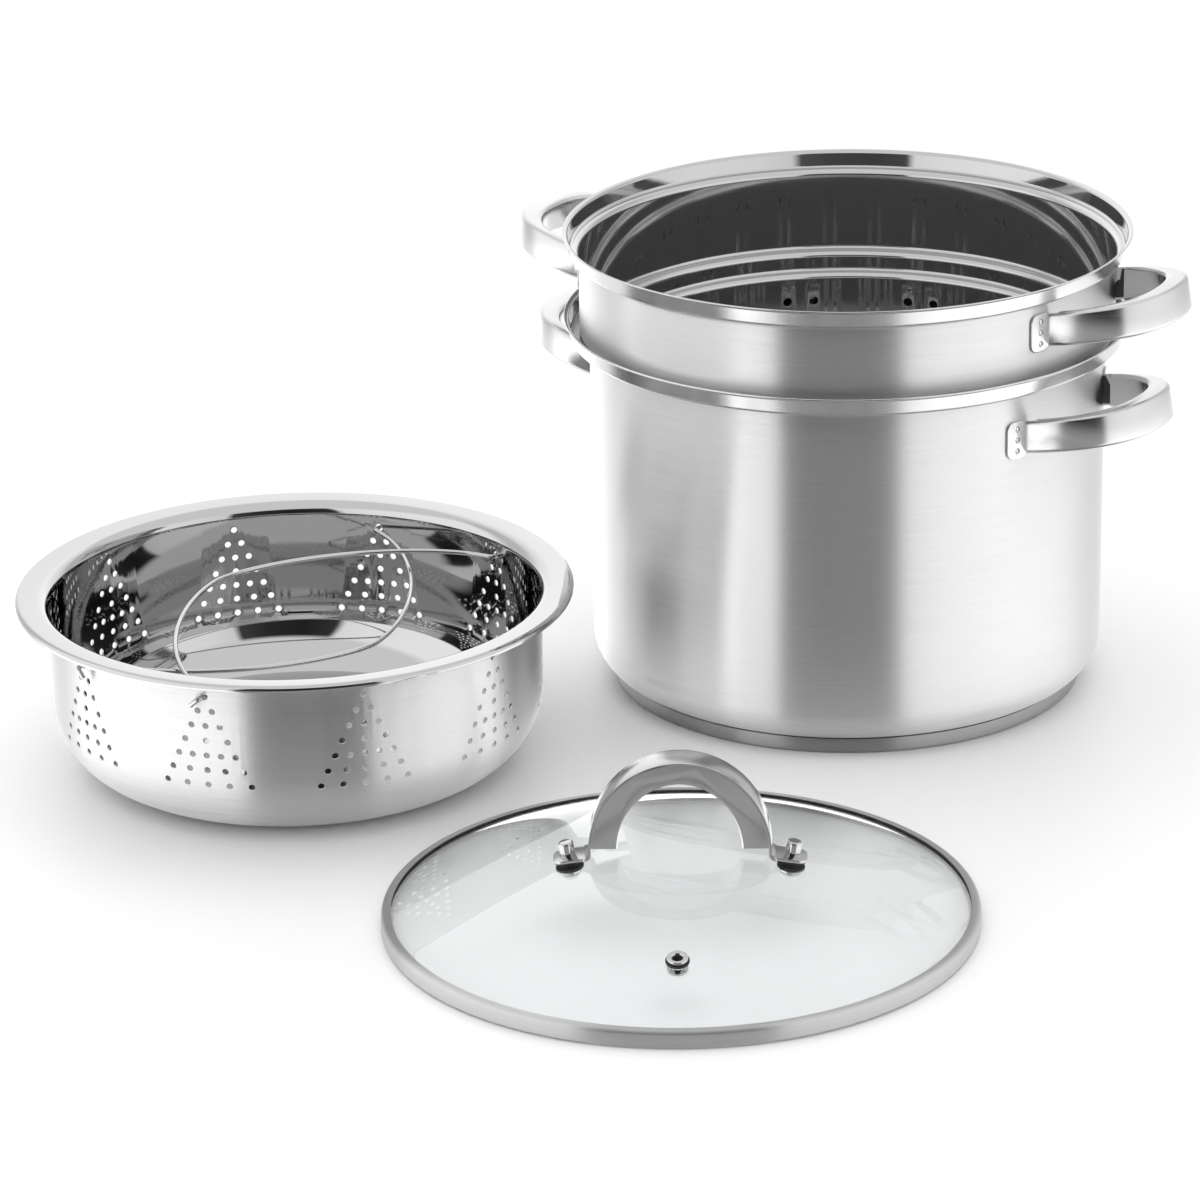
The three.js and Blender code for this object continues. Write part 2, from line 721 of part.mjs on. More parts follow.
// The plan of half an elliptical arch, standing in the XZ plane once it is raised and turned up.
function archBand(outerWidth, outerHeight, innerWidth, innerHeight, depth, base) {
  const outer = archPoints(outerWidth, outerHeight, 2, ARCH_STEPS);
  const inner = archPoints(innerWidth, innerHeight, 2, ARCH_STEPS).reverse();
  return raised([...outer, ...inner], depth).rotateX(Math.PI / 2).translate(0, 0, base);
}

// A foot tab of the arch, from under the arch's outer sheet to past its nut.
function archFoot(side) {
  const start = ARCH_HALF_WIDTH - ARCH_SHEET;
  const end = FOOT_SPACING / 2 + FOOT_END;
  const plate = raised(roundedPlate(end - start, 2 * FOOT_HALF_WIDTH, FOOT_END / 2), ARCH_SHEET);
  plate.translate(side * ((start + end) / 2 - FOOT_SPACING / 2), 0, FOOT_BOTTOM + ARCH_SHEET / 2);
  const hole = disc(SCREW_RADIUS + CLEARANCE, 0, FOOT_TOP + GASKET, FASTENER_SEGMENTS);
  return cut(plate, hole).applyMatrix4(domeMatrix(side * FOOT_SPACING / 2));
}

function lidHandle() {
  const footRise = (FOOT_SPACING / 2 - ARCH_HALF_WIDTH) * FOOT_SPACING / 2 / DOME_RADIUS;
  const base = domeHeight(FOOT_SPACING / 2) + FOOT_BOTTOM + footRise;
  const height = ARCH_TOP - base;
  const strip = archBand(
    ARCH_HALF_WIDTH,
    height,
    ARCH_HALF_WIDTH - ARCH_SHEET,
    height - ARCH_SHEET,
    ARCH_DEPTH,
    base,
  );
  const innerWidth = ARCH_HALF_WIDTH - ARCH_SIDE_WIDTH;
  const innerHeight = height - ARCH_TOP_WIDTH;
  const faceDepth = ARCH_DEPTH - 2 * ARCH_FACE_INSET;
  const face = archBand(
    ARCH_HALF_WIDTH - ARCH_SHEET / 2,
    height - ARCH_SHEET / 2,
    innerWidth,
    innerHeight,
    faceDepth,
    base,
  );
  const hollow = archBand(
    ARCH_HALF_WIDTH - ARCH_SHEET,
    height - ARCH_SHEET,
    innerWidth + ARCH_SHEET,
    innerHeight + ARCH_SHEET,
    faceDepth - 2 * ARCH_SHEET,
    base,
  );
  const below = new THREE.BoxGeometry(3 * ARCH_HALF_WIDTH, 2 * ARCH_DEPTH, ARCH_TOP);
  const faceCut = closed(below.translate(0, 0, ARCH_FACE_BOTTOM - ARCH_TOP / 2));
  return joined(cut(face, hollow, faceCut), strip, archFoot(1), archFoot(-1));
}

function nut() {
  const top = FOOT_TOP + CLEARANCE + NUT_HEIGHT;
  const bore = SCREW_RADIUS + CLEARANCE;
  return turned([
    new THREE.Vector2(0, top - NUT_ROOF),
    new THREE.Vector2(bore, top - NUT_ROOF),
    new THREE.Vector2(bore, FOOT_TOP + CLEARANCE),
    new THREE.Vector2(NUT_RADIUS, FOOT_TOP + CLEARANCE),
    new THREE.Vector2(NUT_RADIUS, top - NUT_CHAMFER),
    new THREE.Vector2(NUT_RADIUS - NUT_CHAMFER, top),
    new THREE.Vector2(0, top),
  ], FASTENER_SEGMENTS);
}

function screw() {
  const tip = FOOT_TOP + NUT_HEIGHT - NUT_ROOF;
  return turned([
    new THREE.Vector2(0, SCREW_HEAD_TOP - SCREW_HEAD),
    new THREE.Vector2(SCREW_HEAD_RADIUS - SCREW_HEAD / 2, SCREW_HEAD_TOP - SCREW_HEAD),
    new THREE.Vector2(SCREW_HEAD_RADIUS, SCREW_HEAD_TOP - SCREW_HEAD / 2),
    new THREE.Vector2(SCREW_HEAD_RADIUS, SCREW_HEAD_TOP),
    new THREE.Vector2(SCREW_RADIUS, SCREW_HEAD_TOP),
    new THREE.Vector2(SCREW_RADIUS, tip),
    new THREE.Vector2(0, tip),
  ], FASTENER_SEGMENTS);
}

// The pieces that hold one foot of the lid's handle to the glass.
function fastener(name, side) {
  const bore = SCREW_RADIUS + CLEARANCE;
  const gasket = ring(bore, GASKET_RADIUS, CLEARANCE, CLEARANCE + GASKET, FASTENER_SEGMENTS);
  const washer = ring(bore, WASHER_RADIUS, WASHER_TOP - WASHER, WASHER_TOP, FASTENER_SEGMENTS);
  return onDome(side * FOOT_SPACING / 2, group(
    part(`lid_gasket_${name}`, gasket, blackSilicone),
    part(`lid_nut_${name}`, nut(), polishedSteel),
    part(`lid_screw_${name}`, screw(), polishedSteel),
    part(`lid_washer_${name}`, washer, blackSilicone),
  ));
}

function ventEyelet() {
  const flangeBottom = 2 * CLEARANCE + VENT_GASKET;
  const flareTop = -GLASS / Math.cos(Math.asin(VENT_OFFSET / DOME_RADIUS)) - 2 * CLEARANCE;
  const flareBottom = flareTop - VENT_FLANGE;
  const top = flangeBottom + VENT_FLANGE;
  return turned([
    new THREE.Vector2(VENT_BORE_RADIUS, flareBottom),
    new THREE.Vector2(VENT_FLARE_RADIUS, flareBottom),
    new THREE.Vector2(VENT_FLARE_RADIUS, flareTop),
    new THREE.Vector2(VENT_TUBE_RADIUS, flareTop),
    new THREE.Vector2(VENT_TUBE_RADIUS, flangeBottom),
    new THREE.Vector2(VENT_FLANGE_RADIUS, flangeBottom),
    new THREE.Vector2(VENT_FLANGE_RADIUS - VENT_FLANGE / 2, top),
    new THREE.Vector2(VENT_BORE_RADIUS + VENT_FLANGE / 2, top),
    new THREE.Vector2(VENT_BORE_RADIUS, flangeBottom),
  ], FASTENER_SEGMENTS);
}

function vent() {
  const bore = VENT_TUBE_RADIUS + CLEARANCE;
  const gasket = ring(bore, VENT_GASKET_RADIUS, CLEARANCE, CLEARANCE + VENT_GASKET, FASTENER_SEGMENTS);
  const turnedToFront = group(onDome(VENT_OFFSET, group(
    part('vent_eyelet', ventEyelet(), polishedSteel),
    part('vent_gasket', gasket, blackSilicone),
  )));
  turnedToFront.rotation.z = -Math.PI / 2;
  return turnedToFront;
}

// Assembly

const pot = group(
  part('pot_body', potBody(), brushedSteel),
  part('pot_base_core', baseCore(), aluminium),
  part('pot_base_cap', baseCap(), brushedSteel),
  ...handlePair('pot', POT_RADIUS, POT_RIM_HEIGHT - POT_HANDLE_DROP, 0),
);

const insert = group(
  part('insert_body', insertBody(), brushedSteel),
  ...handlePair('insert', COLLAR_RADIUS, INSERT_RIM_HEIGHT - INSERT_HANDLE_DROP, INSERT_HANDLE_TURN),
);
insert.rotation.z = radians(INSERT_TURN);

const leftBail = part('bail_left', bail(BAIL_LEFT_LEAN), polishedSteel);
leftBail.rotation.z = Math.PI;
const basket = group(
  part('basket_body', basketBody(), polishedSteel),
  part('bail_right', bail(BAIL_RIGHT_LEAN), polishedSteel),
  leftBail,
);
basket.rotation.z = radians(BASKET_TURN);

const lid = group(
  part('lid_glass', lidGlass(), clearGlass),
  part('lid_rim', lidRim(), brushedSteel),
  part('lid_handle', lidHandle(), brushedSteel),
  fastener('left', -1),
  fastener('right', 1),
  vent(),
);
lid.rotation.z = radians(LID_TURN);

// The basket and the lid lie on the table, clear of the pot and of each other.
const basketDistance = RIM_RADIUS + FLANGE_RADIUS + BASKET_GAP;
const lidDistance = RIM_RADIUS + LID_RADIUS + LID_GAP;
const basketToLid = FLANGE_RADIUS + LID_RADIUS + LID_BASKET_GAP;
const sideSquares = basketDistance ** 2 + lidDistance ** 2 - basketToLid ** 2;
const between = Math.acos(sideSquares / (2 * basketDistance * lidDistance));
const basketDirection = radians(BASKET_DIRECTION);
const lidDirection = basketDirection + between;
basket.position.set(Math.cos(basketDirection), Math.sin(basketDirection), 0).multiplyScalar(basketDistance);
lid.position.set(Math.cos(lidDirection), Math.sin(lidDirection), 0).multiplyScalar(lidDistance);

const pastaPot = group(pot, insert, basket, lid);
pastaPot.name = 'pasta_pot';

export default pastaPot;
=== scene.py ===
"""Dresses the pasta pot set: pot, pasta insert, steamer basket and glass lid, on a white studio floor."""

from math import acos, asin, ceil, cos, pi, radians, sin, sqrt

import bpy
from bpy.props import FloatProperty, FloatVectorProperty, IntProperty, PointerProperty
from bpy.types import NodeSocket, Operator, Panel, PropertyGroup
from mathutils import Matrix, Vector


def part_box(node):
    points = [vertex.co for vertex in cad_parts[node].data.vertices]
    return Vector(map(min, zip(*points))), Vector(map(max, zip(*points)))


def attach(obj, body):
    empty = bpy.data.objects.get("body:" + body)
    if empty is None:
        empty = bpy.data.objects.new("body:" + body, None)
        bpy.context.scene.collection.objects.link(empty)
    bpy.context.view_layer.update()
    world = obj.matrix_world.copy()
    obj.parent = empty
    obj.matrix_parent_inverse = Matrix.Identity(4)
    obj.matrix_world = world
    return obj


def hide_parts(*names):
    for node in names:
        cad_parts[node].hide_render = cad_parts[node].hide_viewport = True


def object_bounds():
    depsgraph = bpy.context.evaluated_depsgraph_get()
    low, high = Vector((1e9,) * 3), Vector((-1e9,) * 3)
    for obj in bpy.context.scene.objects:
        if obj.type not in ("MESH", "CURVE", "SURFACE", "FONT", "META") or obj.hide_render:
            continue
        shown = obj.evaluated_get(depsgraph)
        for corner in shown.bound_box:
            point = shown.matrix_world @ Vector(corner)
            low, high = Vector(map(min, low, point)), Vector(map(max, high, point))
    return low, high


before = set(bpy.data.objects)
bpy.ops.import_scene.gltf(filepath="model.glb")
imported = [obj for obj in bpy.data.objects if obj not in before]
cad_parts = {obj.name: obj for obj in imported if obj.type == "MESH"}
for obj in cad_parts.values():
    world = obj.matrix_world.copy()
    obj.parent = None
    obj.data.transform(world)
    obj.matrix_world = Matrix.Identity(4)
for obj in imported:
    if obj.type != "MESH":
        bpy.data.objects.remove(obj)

bl_info = {
    "name": "Pasta Pot Set",
    "version": (1, 0, 0),
    "blender": (4, 5, 0),
    "location": "3D View > Sidebar > Pasta Pot",
    "description": "Models a steel pasta pot with its insert, steamer basket and glass lid",
    "category": "Add Mesh",
}

CAD_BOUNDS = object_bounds()


def middle(node):
    """The middle of a CAD node in plan, on the table."""
    low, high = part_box(node)
    return Vector(((low.x + high.x) / 2, (low.y + high.y) / 2, 0))


BASKET_CENTRE = middle("basket_body")
LID_CENTRE = middle("lid_rim")
SET_MIDDLE = (BASKET_CENTRE + LID_CENTRE) / 3  # The pot, the third of the set, stands at the origin
UP = Vector((0, 0, 1))
WHOLE_TURN = 2 * pi

# How fine the meshes are
TURN_STEPS = 180
SMALL_TURN_STEPS = 48
LOOP_STEPS = 44
ARCH_STEPS = 64
BAIL_STEPS = 90
BEND_STEPS = 6
DOME_STEPS = 40
WIRE_RESOLUTION = 4
DRILL_SIDES = 20
WELD_SEGMENTS = 24
TENT_SEGMENTS = 96
FLOOR_SIDES = 96
ARC_STEP = radians(9)
MERGE_DISTANCE = 1e-7

# Angles from which an edge is sharp: for shading, for rounding, and for rounding a loop handle
SMOOTH_ANGLE = radians(32)
BEVEL_ANGLE = radians(50)
LOOP_BEVEL_ANGLE = radians(60)

# Shapes and holes
ELLIPSE = 2  # Squareness of an arch that is half an ellipse
ARCH_START = 1.5  # Where a bail's arch takes over from its bend, in bends
EYELET_ROUND = 0.45  # Share of the eyelet's flange
UPRIGHT = 0.5  # How far up or down an upright face may look
FLOOR_RINGS = (1, 6, 12)  # Holes in the insert's floor
GROUP_ROWS = (1, 2, 3, 3, 5, 5, 5)  # Holes in a group on the basket
BAIL_GROUPS = (2, 3)  # Groups that hold bails, in each half of the basket

# Places in a piece's list of materials, after that of its outside
SECOND = 1
THIRD = 2

# Grain of the steel
NOISE_RANGE = (0.3, 0.7)  # Most of the noise lies in it
NOISE_PER_RADIAN = 3  # Along a brushed line
BRUSH_LINES = 1000  # To the metre
POLISH_LINES = 900
STROKES = (60, 60, 1800)  # To the metre, along each axis
BRUSH_RELIEF = 0.03
STROKE_RELIEF = 0.015
SCRATCH_DEPTH = 0.0002
ACROSS = 0.25  # Part of a turn, so that reflections stretch across the lines

# Roughness, with its spread by grain as shares
SATIN_SPREAD = (0.9, 1.1)
POLISH_SPREAD = (0.7, 1.5)
DULL = 0.6
DISC_ROUGHNESS = 0.5
FLOOR_ROUGHNESS = 0.45
GLASS_ROUGHNESS = 0.01
GLASS_INDEX = 1.5

# Camera
MILLIMETRES = 1000  # In a metre
SENSOR_WIDTH = 36  # In millimetres
VIEW_END = 50

# Light
SECOND_MIRROR = 1.5  # Glossy depth between a first mirror and a second

# Heights, or depths, at which the parts of the tent meet, as shares of its radius
APRON_STEP = (-0.2, 0.15)
UPPER_STEP = (-0.12, 0.12)
TOP_STEP = (sin(radians(42)), sin(radians(50)))
UNDER_STEP = (sin(radians(25)), sin(radians(62)))

# The tent as mirrors show it: degrees from the camera, seen from the set's middle, and share of side light
TENT = (
    (-180, 1.2),
    (-148, 1.0),
    (-132, 0.66),
    (-118, 0.66),
    (-106, 1.1),
    (-75, 1.12),
    (-45, 1.06),
    (-30.5, 0.98),
    (-26.5, 0.04),
    (-10, 0.02),
    (10, 0.03),
    (25.5, 0.06),
    (29.5, 0.84),
    (45, 0.95),
    (75, 1.0),
    (105, 0.9),
    (126, 0.64),
    (142, 0.58),
    (156, 0.95),
    (180, 1.2),
)


def length(name, description, default):
    return FloatProperty(name=name, description=description, default=default, unit="LENGTH", precision=5)


def in_degrees(name, description, degrees):
    return FloatProperty(name=name, description=description, default=radians(degrees), subtype="ANGLE")


def colour(name, description, default):
    return FloatVectorProperty(name=name, description=description, default=default, subtype="COLOR", size=4)


def location(name, description, default):
    return FloatVectorProperty(name=name, description=description, default=default, subtype="TRANSLATION")


def share(name, description, default):
    return FloatProperty(name=name, description=description, default=default, subtype="FACTOR", min=0, max=1)


def level(name, description, default):
    return FloatProperty(name=name, description=description, default=default, min=0)


def whole(name, description, default):
    return IntProperty(name=name, description=description, default=default, min=1)


class RimSizes(PropertyGroup):
    """The flared rim that the pot and the insert share."""

    radius: length("Radius", "Outer radius of the lip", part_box("pot_body")[1].x)
    height: length("Height", "From the lid's ledge to the lip", 0.0084)
    seat_inset: length("Seat inset", "From the lip in to the lid's seat", 0.0036)
    lip_inset: length("Lip inset", "How far the lip turns out", 0.0017)
    lip_curl: length("Lip curl", "Height over which the lip turns out", 0.0016)
    neck_round: length("Neck round", "Radius between wall and ledge", 0.0025)
    seat_round: length("Seat round", "Radius between ledge and lip", 0.002)
    edge: length("Edge round", "Rounding of the cut edge of a sheet", 0.00025)


class PotSizes(PropertyGroup):
    """The stock pot and its base."""

    wall_radius: length("Wall radius", "Outer radius of the pot's wall", 0.121)
    sheet: length("Sheet", "Thickness of the pot's wall", 0.0008)
    corner: length("Corner", "Radius of the edge of the pot's floor", 0.017)
    ledge: length("Ledge", "Height of the ledge that the insert stands on", 0.171)
    base_height: length("Base height", "Height of the floor above the table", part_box("pot_body")[0].z)
    base_radius: length("Base radius", "Radius of the base cap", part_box("pot_base_cap")[1].x)
    base_sheet: length("Base sheet", "Thickness of the base cap", 0.0006)
    base_edge: length("Base edge", "Radius of the base cap's lower edge", 0.0016)
    base_seam: length("Base seam", "Gap between the base cap and the pot", 0.0003)


class InsertSizes(PropertyGroup):
    """The perforated pasta insert."""

    sheet: length("Sheet", "Thickness of the insert's wall", 0.0007)
    collar_radius: length("Collar radius", "Outer radius of the collar above the pot", 0.1255)
    shoulder: length("Shoulder height", "Height of the shoulder on the pot's ledge", 0.1713)
    ledge: length("Ledge", "Height of the ledge under the lid", 0.2119)
    step_radius: length("Step radius", "Outer radius of the step inside the pot", 0.1193)
    step_bottom: length("Step bottom", "Height of the lower end of the step", 0.1618)
    step_round: length("Step round", "Radius of the folds at the step", 0.0023)
    wall_radius: length("Wall radius", "Outer radius of the perforated wall", 0.1146)
    floor: length("Floor", "Height of the insert's floor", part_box("insert_body")[0].z)
    corner: length("Corner", "Radius of the edge of the floor", 0.02)
    hole: length("Hole", "Diameter of a hole", 0.0044)
    top_row: length("Top row", "Height of the top row of holes", 0.1485)
    row_pitch: length("Row pitch", "Height between rows of holes", 0.027)
    rows: whole("Rows", "Rows of holes in the wall", 4)
    pairs: whole("Pairs", "Pairs of holes in a row", 12)
    pair_angle: in_degrees("Pair angle", "Angle between the holes of a pair", 6.6)
    first_angle: in_degrees("First pair", "Angle of the first pair of holes", 5)
    floor_ring: length("Floor ring", "Distance between rings of holes in the floor", 0.033)
    turn: in_degrees("Turn", "How far the insert is turned in the pot", 5.5)
    handle_turn: in_degrees("Handle turn", "Angle of the insert's right handle", 3.5)


class HandleSizes(PropertyGroup):
    """The hollow loop handles of pot and insert."""

    half_width: length("Half width", "Half the width across a handle's legs", 0.04)
    reach: length("Reach", "How far a handle stands out from the wall", 0.0432)
    height: length("Height", "Height of the handle's band", 0.0158)
    tilt: in_degrees("Tilt", "How far the handle slopes up", 10.3)
    end_width: length("End width", "Width of the band at its end", 0.0115)
    leg_width: length("Leg width", "Width of the band at its legs", 0.0046)
    sheet: length("Sheet", "Thickness of the handle's sheet", 0.0011)
    edge: length("Edge", "Rounding of the band's edges", 0.0022)
    squareness: level("Squareness", "How square the loop is in plan", 2.4)
    end_gap: length("End gap", "Distance of the open leg ends from the wall", 0.0045)
    tab_width: length("Tab width", "Width of a welded tab", 0.0118)
    tab_height: length("Tab height", "Height of a welded tab", 0.018)
    tab_corner: length("Tab corner", "Radius of a tab's corners", 0.004)
    tab_edge: length("Tab edge", "Rounding of a tab's edges", 0.0005)
    weld_pitch: length("Weld pitch", "Distance between spot welds", 0.0052)
    weld_radius: length("Weld radius", "Radius of the ball that dents a spot weld", 0.0016)
    weld_depth: length("Weld depth", "Depth of a spot weld", 0.0009)
    pot_height: length("Pot handle height", "Height of the middle of a pot handle's legs", 0.1469)
    insert_height: length("Insert handle height", "Height of the middle of an insert handle's legs", 0.197)


class BasketSizes(PropertyGroup):
    """The steamer basket."""

    sheet: length("Sheet", "Thickness of the basket's wall", 0.0007)
    wall_radius: length("Wall radius", "Outer radius of the wall", 0.1129)
    height: length("Height", "Height of the flange's upper face", 0.0842)
    corner: length("Corner", "Radius of the edge of the floor", 0.035)
    flange_radius: length("Flange radius", "Outer radius of the flange", 0.1278)
    flange_rise: length("Flange rise", "How far the flange slopes up outwards", 0.0012)
    flange_round: length("Flange round", "Radius between wall and flange", 0.0055)
    lip: length("Lip", "Depth of the turned-down lip", 0.003)
    hole: length("Hole", "Diameter of a hole", 0.003)
    bail_hole: length("Bail hole", "Diameter of a hole that a bail hooks through", 0.0036)
    top_hole: length("Top hole", "Height of the top hole of a group", 0.0723)
    row_pitch: length("Row pitch", "Height between rows of holes", 0.007)
    row_spread: in_degrees("Row spread", "How much wider each row is than the one above", 3.4)
    groups: whole("Groups", "Groups of holes round the wall", 10)
    turn: in_degrees("Turn", "How far the basket is turned", -4)


class BailSizes(PropertyGroup):
    """The two wire bails of the basket."""

    wire: length("Wire", "Diameter of the wire", 0.0022)
    reach: length("Reach", "From the hinge to the far side of the arch", 0.08)
    sharpness: level("Sharpness", "How pointed the arch is", 1.55)
    inset: length("Inset", "Distance of the legs from the wall", 0.0045)
    hook_out: length("Hook out", "How far the wire runs out through the wall", 0.0043)
    hook_length: length("Hook length", "Length of the hooked end", 0.0056)
    hook_angle: in_degrees("Hook angle", "How far the hooked end turns down", -45)
    bend: length("Bend", "Radius of the wire's bends", 0.0024)
    right_lean: in_degrees("Right lean", "How far the right bail stands above level", 3.5)
    left_lean: in_degrees("Left lean", "How far the left bail stands above level", -6)


class LidSizes(PropertyGroup):
    """The glass lid, its band, vent and fasteners."""

    radius: length("Radius", "Outer radius of the lid's band", 0.1285)
    band_height: length("Band height", "Height of the band", 0.008)
    band_lip: length("Band lip", "How far the band reaches over the glass", 0.0045)
    band_sheet: length("Band sheet", "Thickness of the band", 0.0008)
    band_edge: length("Band edge", "Rounding of the band's edges", 0.002)
    band_lean: length("Band lean", "How far the band leans in at its top", 0.0004)
    gap: length("Gap", "Gap between pieces that touch", 0.0003)
    height: length("Height", "Height of the dome", 0.031)
    glass: length("Glass", "Thickness of the glass", 0.004)
    turn: in_degrees("Turn", "How far the lid is turned", 30)
    foot_spacing: length("Foot spacing", "Distance between the handle's nuts", 0.095)
    gasket: length("Gasket", "Thickness of a gasket under the handle", 0.001)
    gasket_radius: length("Gasket radius", "Radius of a gasket under the handle", 0.0064)
    washer: length("Washer", "Thickness of a washer under the glass", 0.0015)
    washer_radius: length("Washer radius", "Radius of a washer under the glass", 0.006)
    nut_radius: length("Nut radius", "Radius of a cap nut", 0.0034)
    nut_height: length("Nut height", "Height of a cap nut", 0.006)
    nut_edge: length("Nut edge", "Rounding of a cap nut's top", 0.0011)
    screw_radius: length("Screw radius", "Radius of a screw's shank", 0.002)
    head_radius: length("Head radius", "Radius of a screw's head", 0.0046)
    head: length("Head", "Height of a screw's head", 0.0022)
    vent_offset: length("Vent offset", "From the lid's middle to the vent", 0.086)
    vent_flange: length("Vent flange", "Radius of the vent's flange", 0.0048)
    vent_rise: length("Vent rise", "Height of the vent's flange", 0.0013)
    vent_tube: length("Vent tube", "Radius of the vent's tube", 0.003)
    vent_bore: length("Vent bore", "Radius of the vent's bore", 0.002)
    vent_flare: length("Vent flare", "Radius of the vent's flare under the glass", 0.0044)
    vent_gasket: length("Vent gasket", "Thickness of the vent's gasket", 0.001)
    vent_gasket_radius: length("Vent gasket radius", "Radius of the vent's gasket", 0.0051)


class ArchSizes(PropertyGroup):
    """The arched handle of the lid."""

    half_width: length("Half width", "Half the width of the arch", 0.039)
    top: length("Top", "Height of the arch above the table", 0.0753)
    depth: length("Depth", "Depth of the outer strip", 0.016)
    side_width: length("Side width", "Width of the face at its sides", 0.0125)
    top_width: length("Top width", "Width of the face at its top", 0.01)
    face_inset: length("Face inset", "How far the faces lie behind the strip's edges", 0.0008)
    face_bottom: length("Face bottom", "Height of the lower ends of the faces", 0.036)
    sheet: length("Sheet", "Thickness of the strip", 0.0012)
    leg: length("Leg", "Straight rise above each foot", 0.003)
    foot_round: length("Foot round", "Radius between foot and arch", 0.0022)
    foot_end: length("Foot end", "From the nut to the end of the foot", 0.0064)
    foot_half_width: length("Foot half width", "Half the width of a foot", 0.0068)
    foot_corner: length("Foot corner", "Radius of a foot's corners", 0.0045)


class Finishes(PropertyGroup):
    """Colours and gloss of the materials."""

    steel: colour("Steel", "Colour of stainless steel", (0.7, 0.7, 0.703, 1))
    formed_steel: colour("Formed steel", "Colour of rims, side handles and lid band", (0.6, 0.6, 0.603, 1))
    # Painted shade: the base cap's steel is darker, to stand in for the shaded floor round its foot that it
    # reflects.
    shaded_base_steel: colour("Shaded base steel", "Colour of the base cap, darkened as painted shade", (0.4, 0.4, 0.402, 1))
    arch_steel: colour("Arch steel", "Colour of the strip over the lid's handle", (0.56, 0.56, 0.563, 1))
    face_steel: colour("Face steel", "Colour of the faces of the lid's handle", (0.64, 0.64, 0.643, 1))
    bright: colour("Bright steel", "Colour of polished stainless steel", (0.52, 0.52, 0.523, 1))
    disc: colour("Disc", "Colour of the aluminium disc in the base", (0.7, 0.7, 0.71, 1))
    glass: colour("Glass", "Tint of the glass", (0.858, 0.87, 0.872, 1))
    glass_shadow: colour("Glass shadow", "Light that a face of the glass lets by", (0.97, 0.975, 0.975, 1))
    silicone: colour("Silicone", "Colour of gaskets and washers", (0.02, 0.02, 0.021, 1))
    # Painted shade: a near-black colour put inside the hollow handles, along the lid band's inner side and
    # in the vent's bore, where there is only shade.
    painted_shade: colour("Painted shade", "Near-black painted shade inside hollows, gaps and bores", (0.05, 0.05, 0.052, 1))
    satin: share("Satin roughness", "Roughness of brushed steel", 0.385)
    formed: share("Formed roughness", "Roughness of the rims and the formed handles", 0.21)
    polish: share("Polish roughness", "Roughness of polished steel", 0.035)
    streaks: share("Streaks", "How much the brushing changes the steel's lightness", 0.045)
    haze: share("Haze", "Share of haze on the deep polished walls", 0.09)
    grain: share("Grain", "How far brushing stretches reflections", 0.99)


class StageSizes(PropertyGroup):
    """Camera, floor and light."""

    focal: length("Focal length", "Lens on a 36 mm frame", 0.1533)
    azimuth: in_degrees("Azimuth", "Side from which the camera looks", 32)
    pitch: in_degrees("Pitch", "How far the camera looks down", 20.72)
    roll: in_degrees("Roll", "How far the camera is turned about its view", -1.02)
    camera: location("Camera place", "Where the camera stands", (1.1132, -2.0045, 0.9022))
    lamp: location("Lamp place", "Where the lamp hangs", (-0.2, -0.1, 2.2))
    lamp_target: location("Lamp target", "Where the lamp points", (0, -0.15, 0))
    lamp_size: length("Lamp size", "Side of the square lamp", 3)
    lamp_power: level("Lamp power", "Power of the lamp in watts", 24)
    floor: colour("Floor", "Colour of the floor", (0.93, 0.93, 0.93, 1))
    floor_radius: length("Floor radius", "Radius of the floor", 6.0)
    fade_start: length("Fade start", "Where the floor starts to fade to white", 0.3)
    fade_end: length("Fade end", "Where the floor is plain white", 0.64)
    mirror_start: length("Mirror start", "Where mirrors start to lose the floor", 0.006)
    mirror_end: length("Mirror end", "Where mirrors see only the tent", 0.09)
    air: level("Air", "Even light from all round", 0.84)
    tent_radius: length("Tent radius", "Radius of the tent that mirrors show", 1.03)
    side_light: level("Side light", "Brightness of the tent's sides in mirrors", 1.92)
    apron_light: level("Apron light", "Brightness of the floor before the camera in mirrors", 0.47)
    upper_share: share("Upper share", "Brightness of the upper sides against the lower", 0.67)
    top_light: level("Top light", "Brightness of the tent's top in mirrors", 1.05)
    under_light: level("Under light", "Brightness of the floor in mirrors", 0.32)


class PastaPotSettings(PropertyGroup):
    """All settings of the set."""

    rim: PointerProperty(type=RimSizes)
    pot: PointerProperty(type=PotSizes)
    insert: PointerProperty(type=InsertSizes)
    handle: PointerProperty(type=HandleSizes)
    basket: PointerProperty(type=BasketSizes)
    bail: PointerProperty(type=BailSizes)
    lid: PointerProperty(type=LidSizes)
    arch: PointerProperty(type=ArchSizes)
    finish: PointerProperty(type=Finishes)
    stage: PointerProperty(type=StageSizes)


# Lines

def rounded_line(corners):
    """Points of a line through corners (x, z, radius), with an arc at each corner that has a radius."""
    points = []
    for index, (x, z, radius) in enumerate(corners):
        here = Vector((x, z))
        if radius == 0:
            points.append(here)
            continue
        back = (Vector(corners[index - 1][:2]) - here).normalized()
        ahead = (Vector(corners[index + 1][:2]) - here).normalized()
        half = acos(back.dot(ahead)) / 2
        centre = here + (back + ahead).normalized() * radius / sin(half)
        start = here + back * radius / (sin(half) / cos(half)) - centre
        side = 1 if back.x * ahead.y - back.y * ahead.x < 0 else -1
        sweep = side * (pi - 2 * half)
        steps = ceil(abs(sweep) / ARC_STEP)
        for step in range(steps + 1):
            points.append(centre + Matrix.Rotation(sweep * step / steps, 2) @ start)
    return points


def arch_line(half_width, reach, squareness, steps):
    """Points over an arch from (half_width, 0) by (0, reach) to (-half_width, 0)."""
    points = []
    for step in range(steps + 1):
        across = cos(pi * step / steps)
        up = sin(pi * step / steps)
        side = 1 if across >= 0 else -1
        power = 2 / squareness
        points.append(Vector((half_width * side * abs(across) ** power, reach * abs(up) ** power)))
    return points


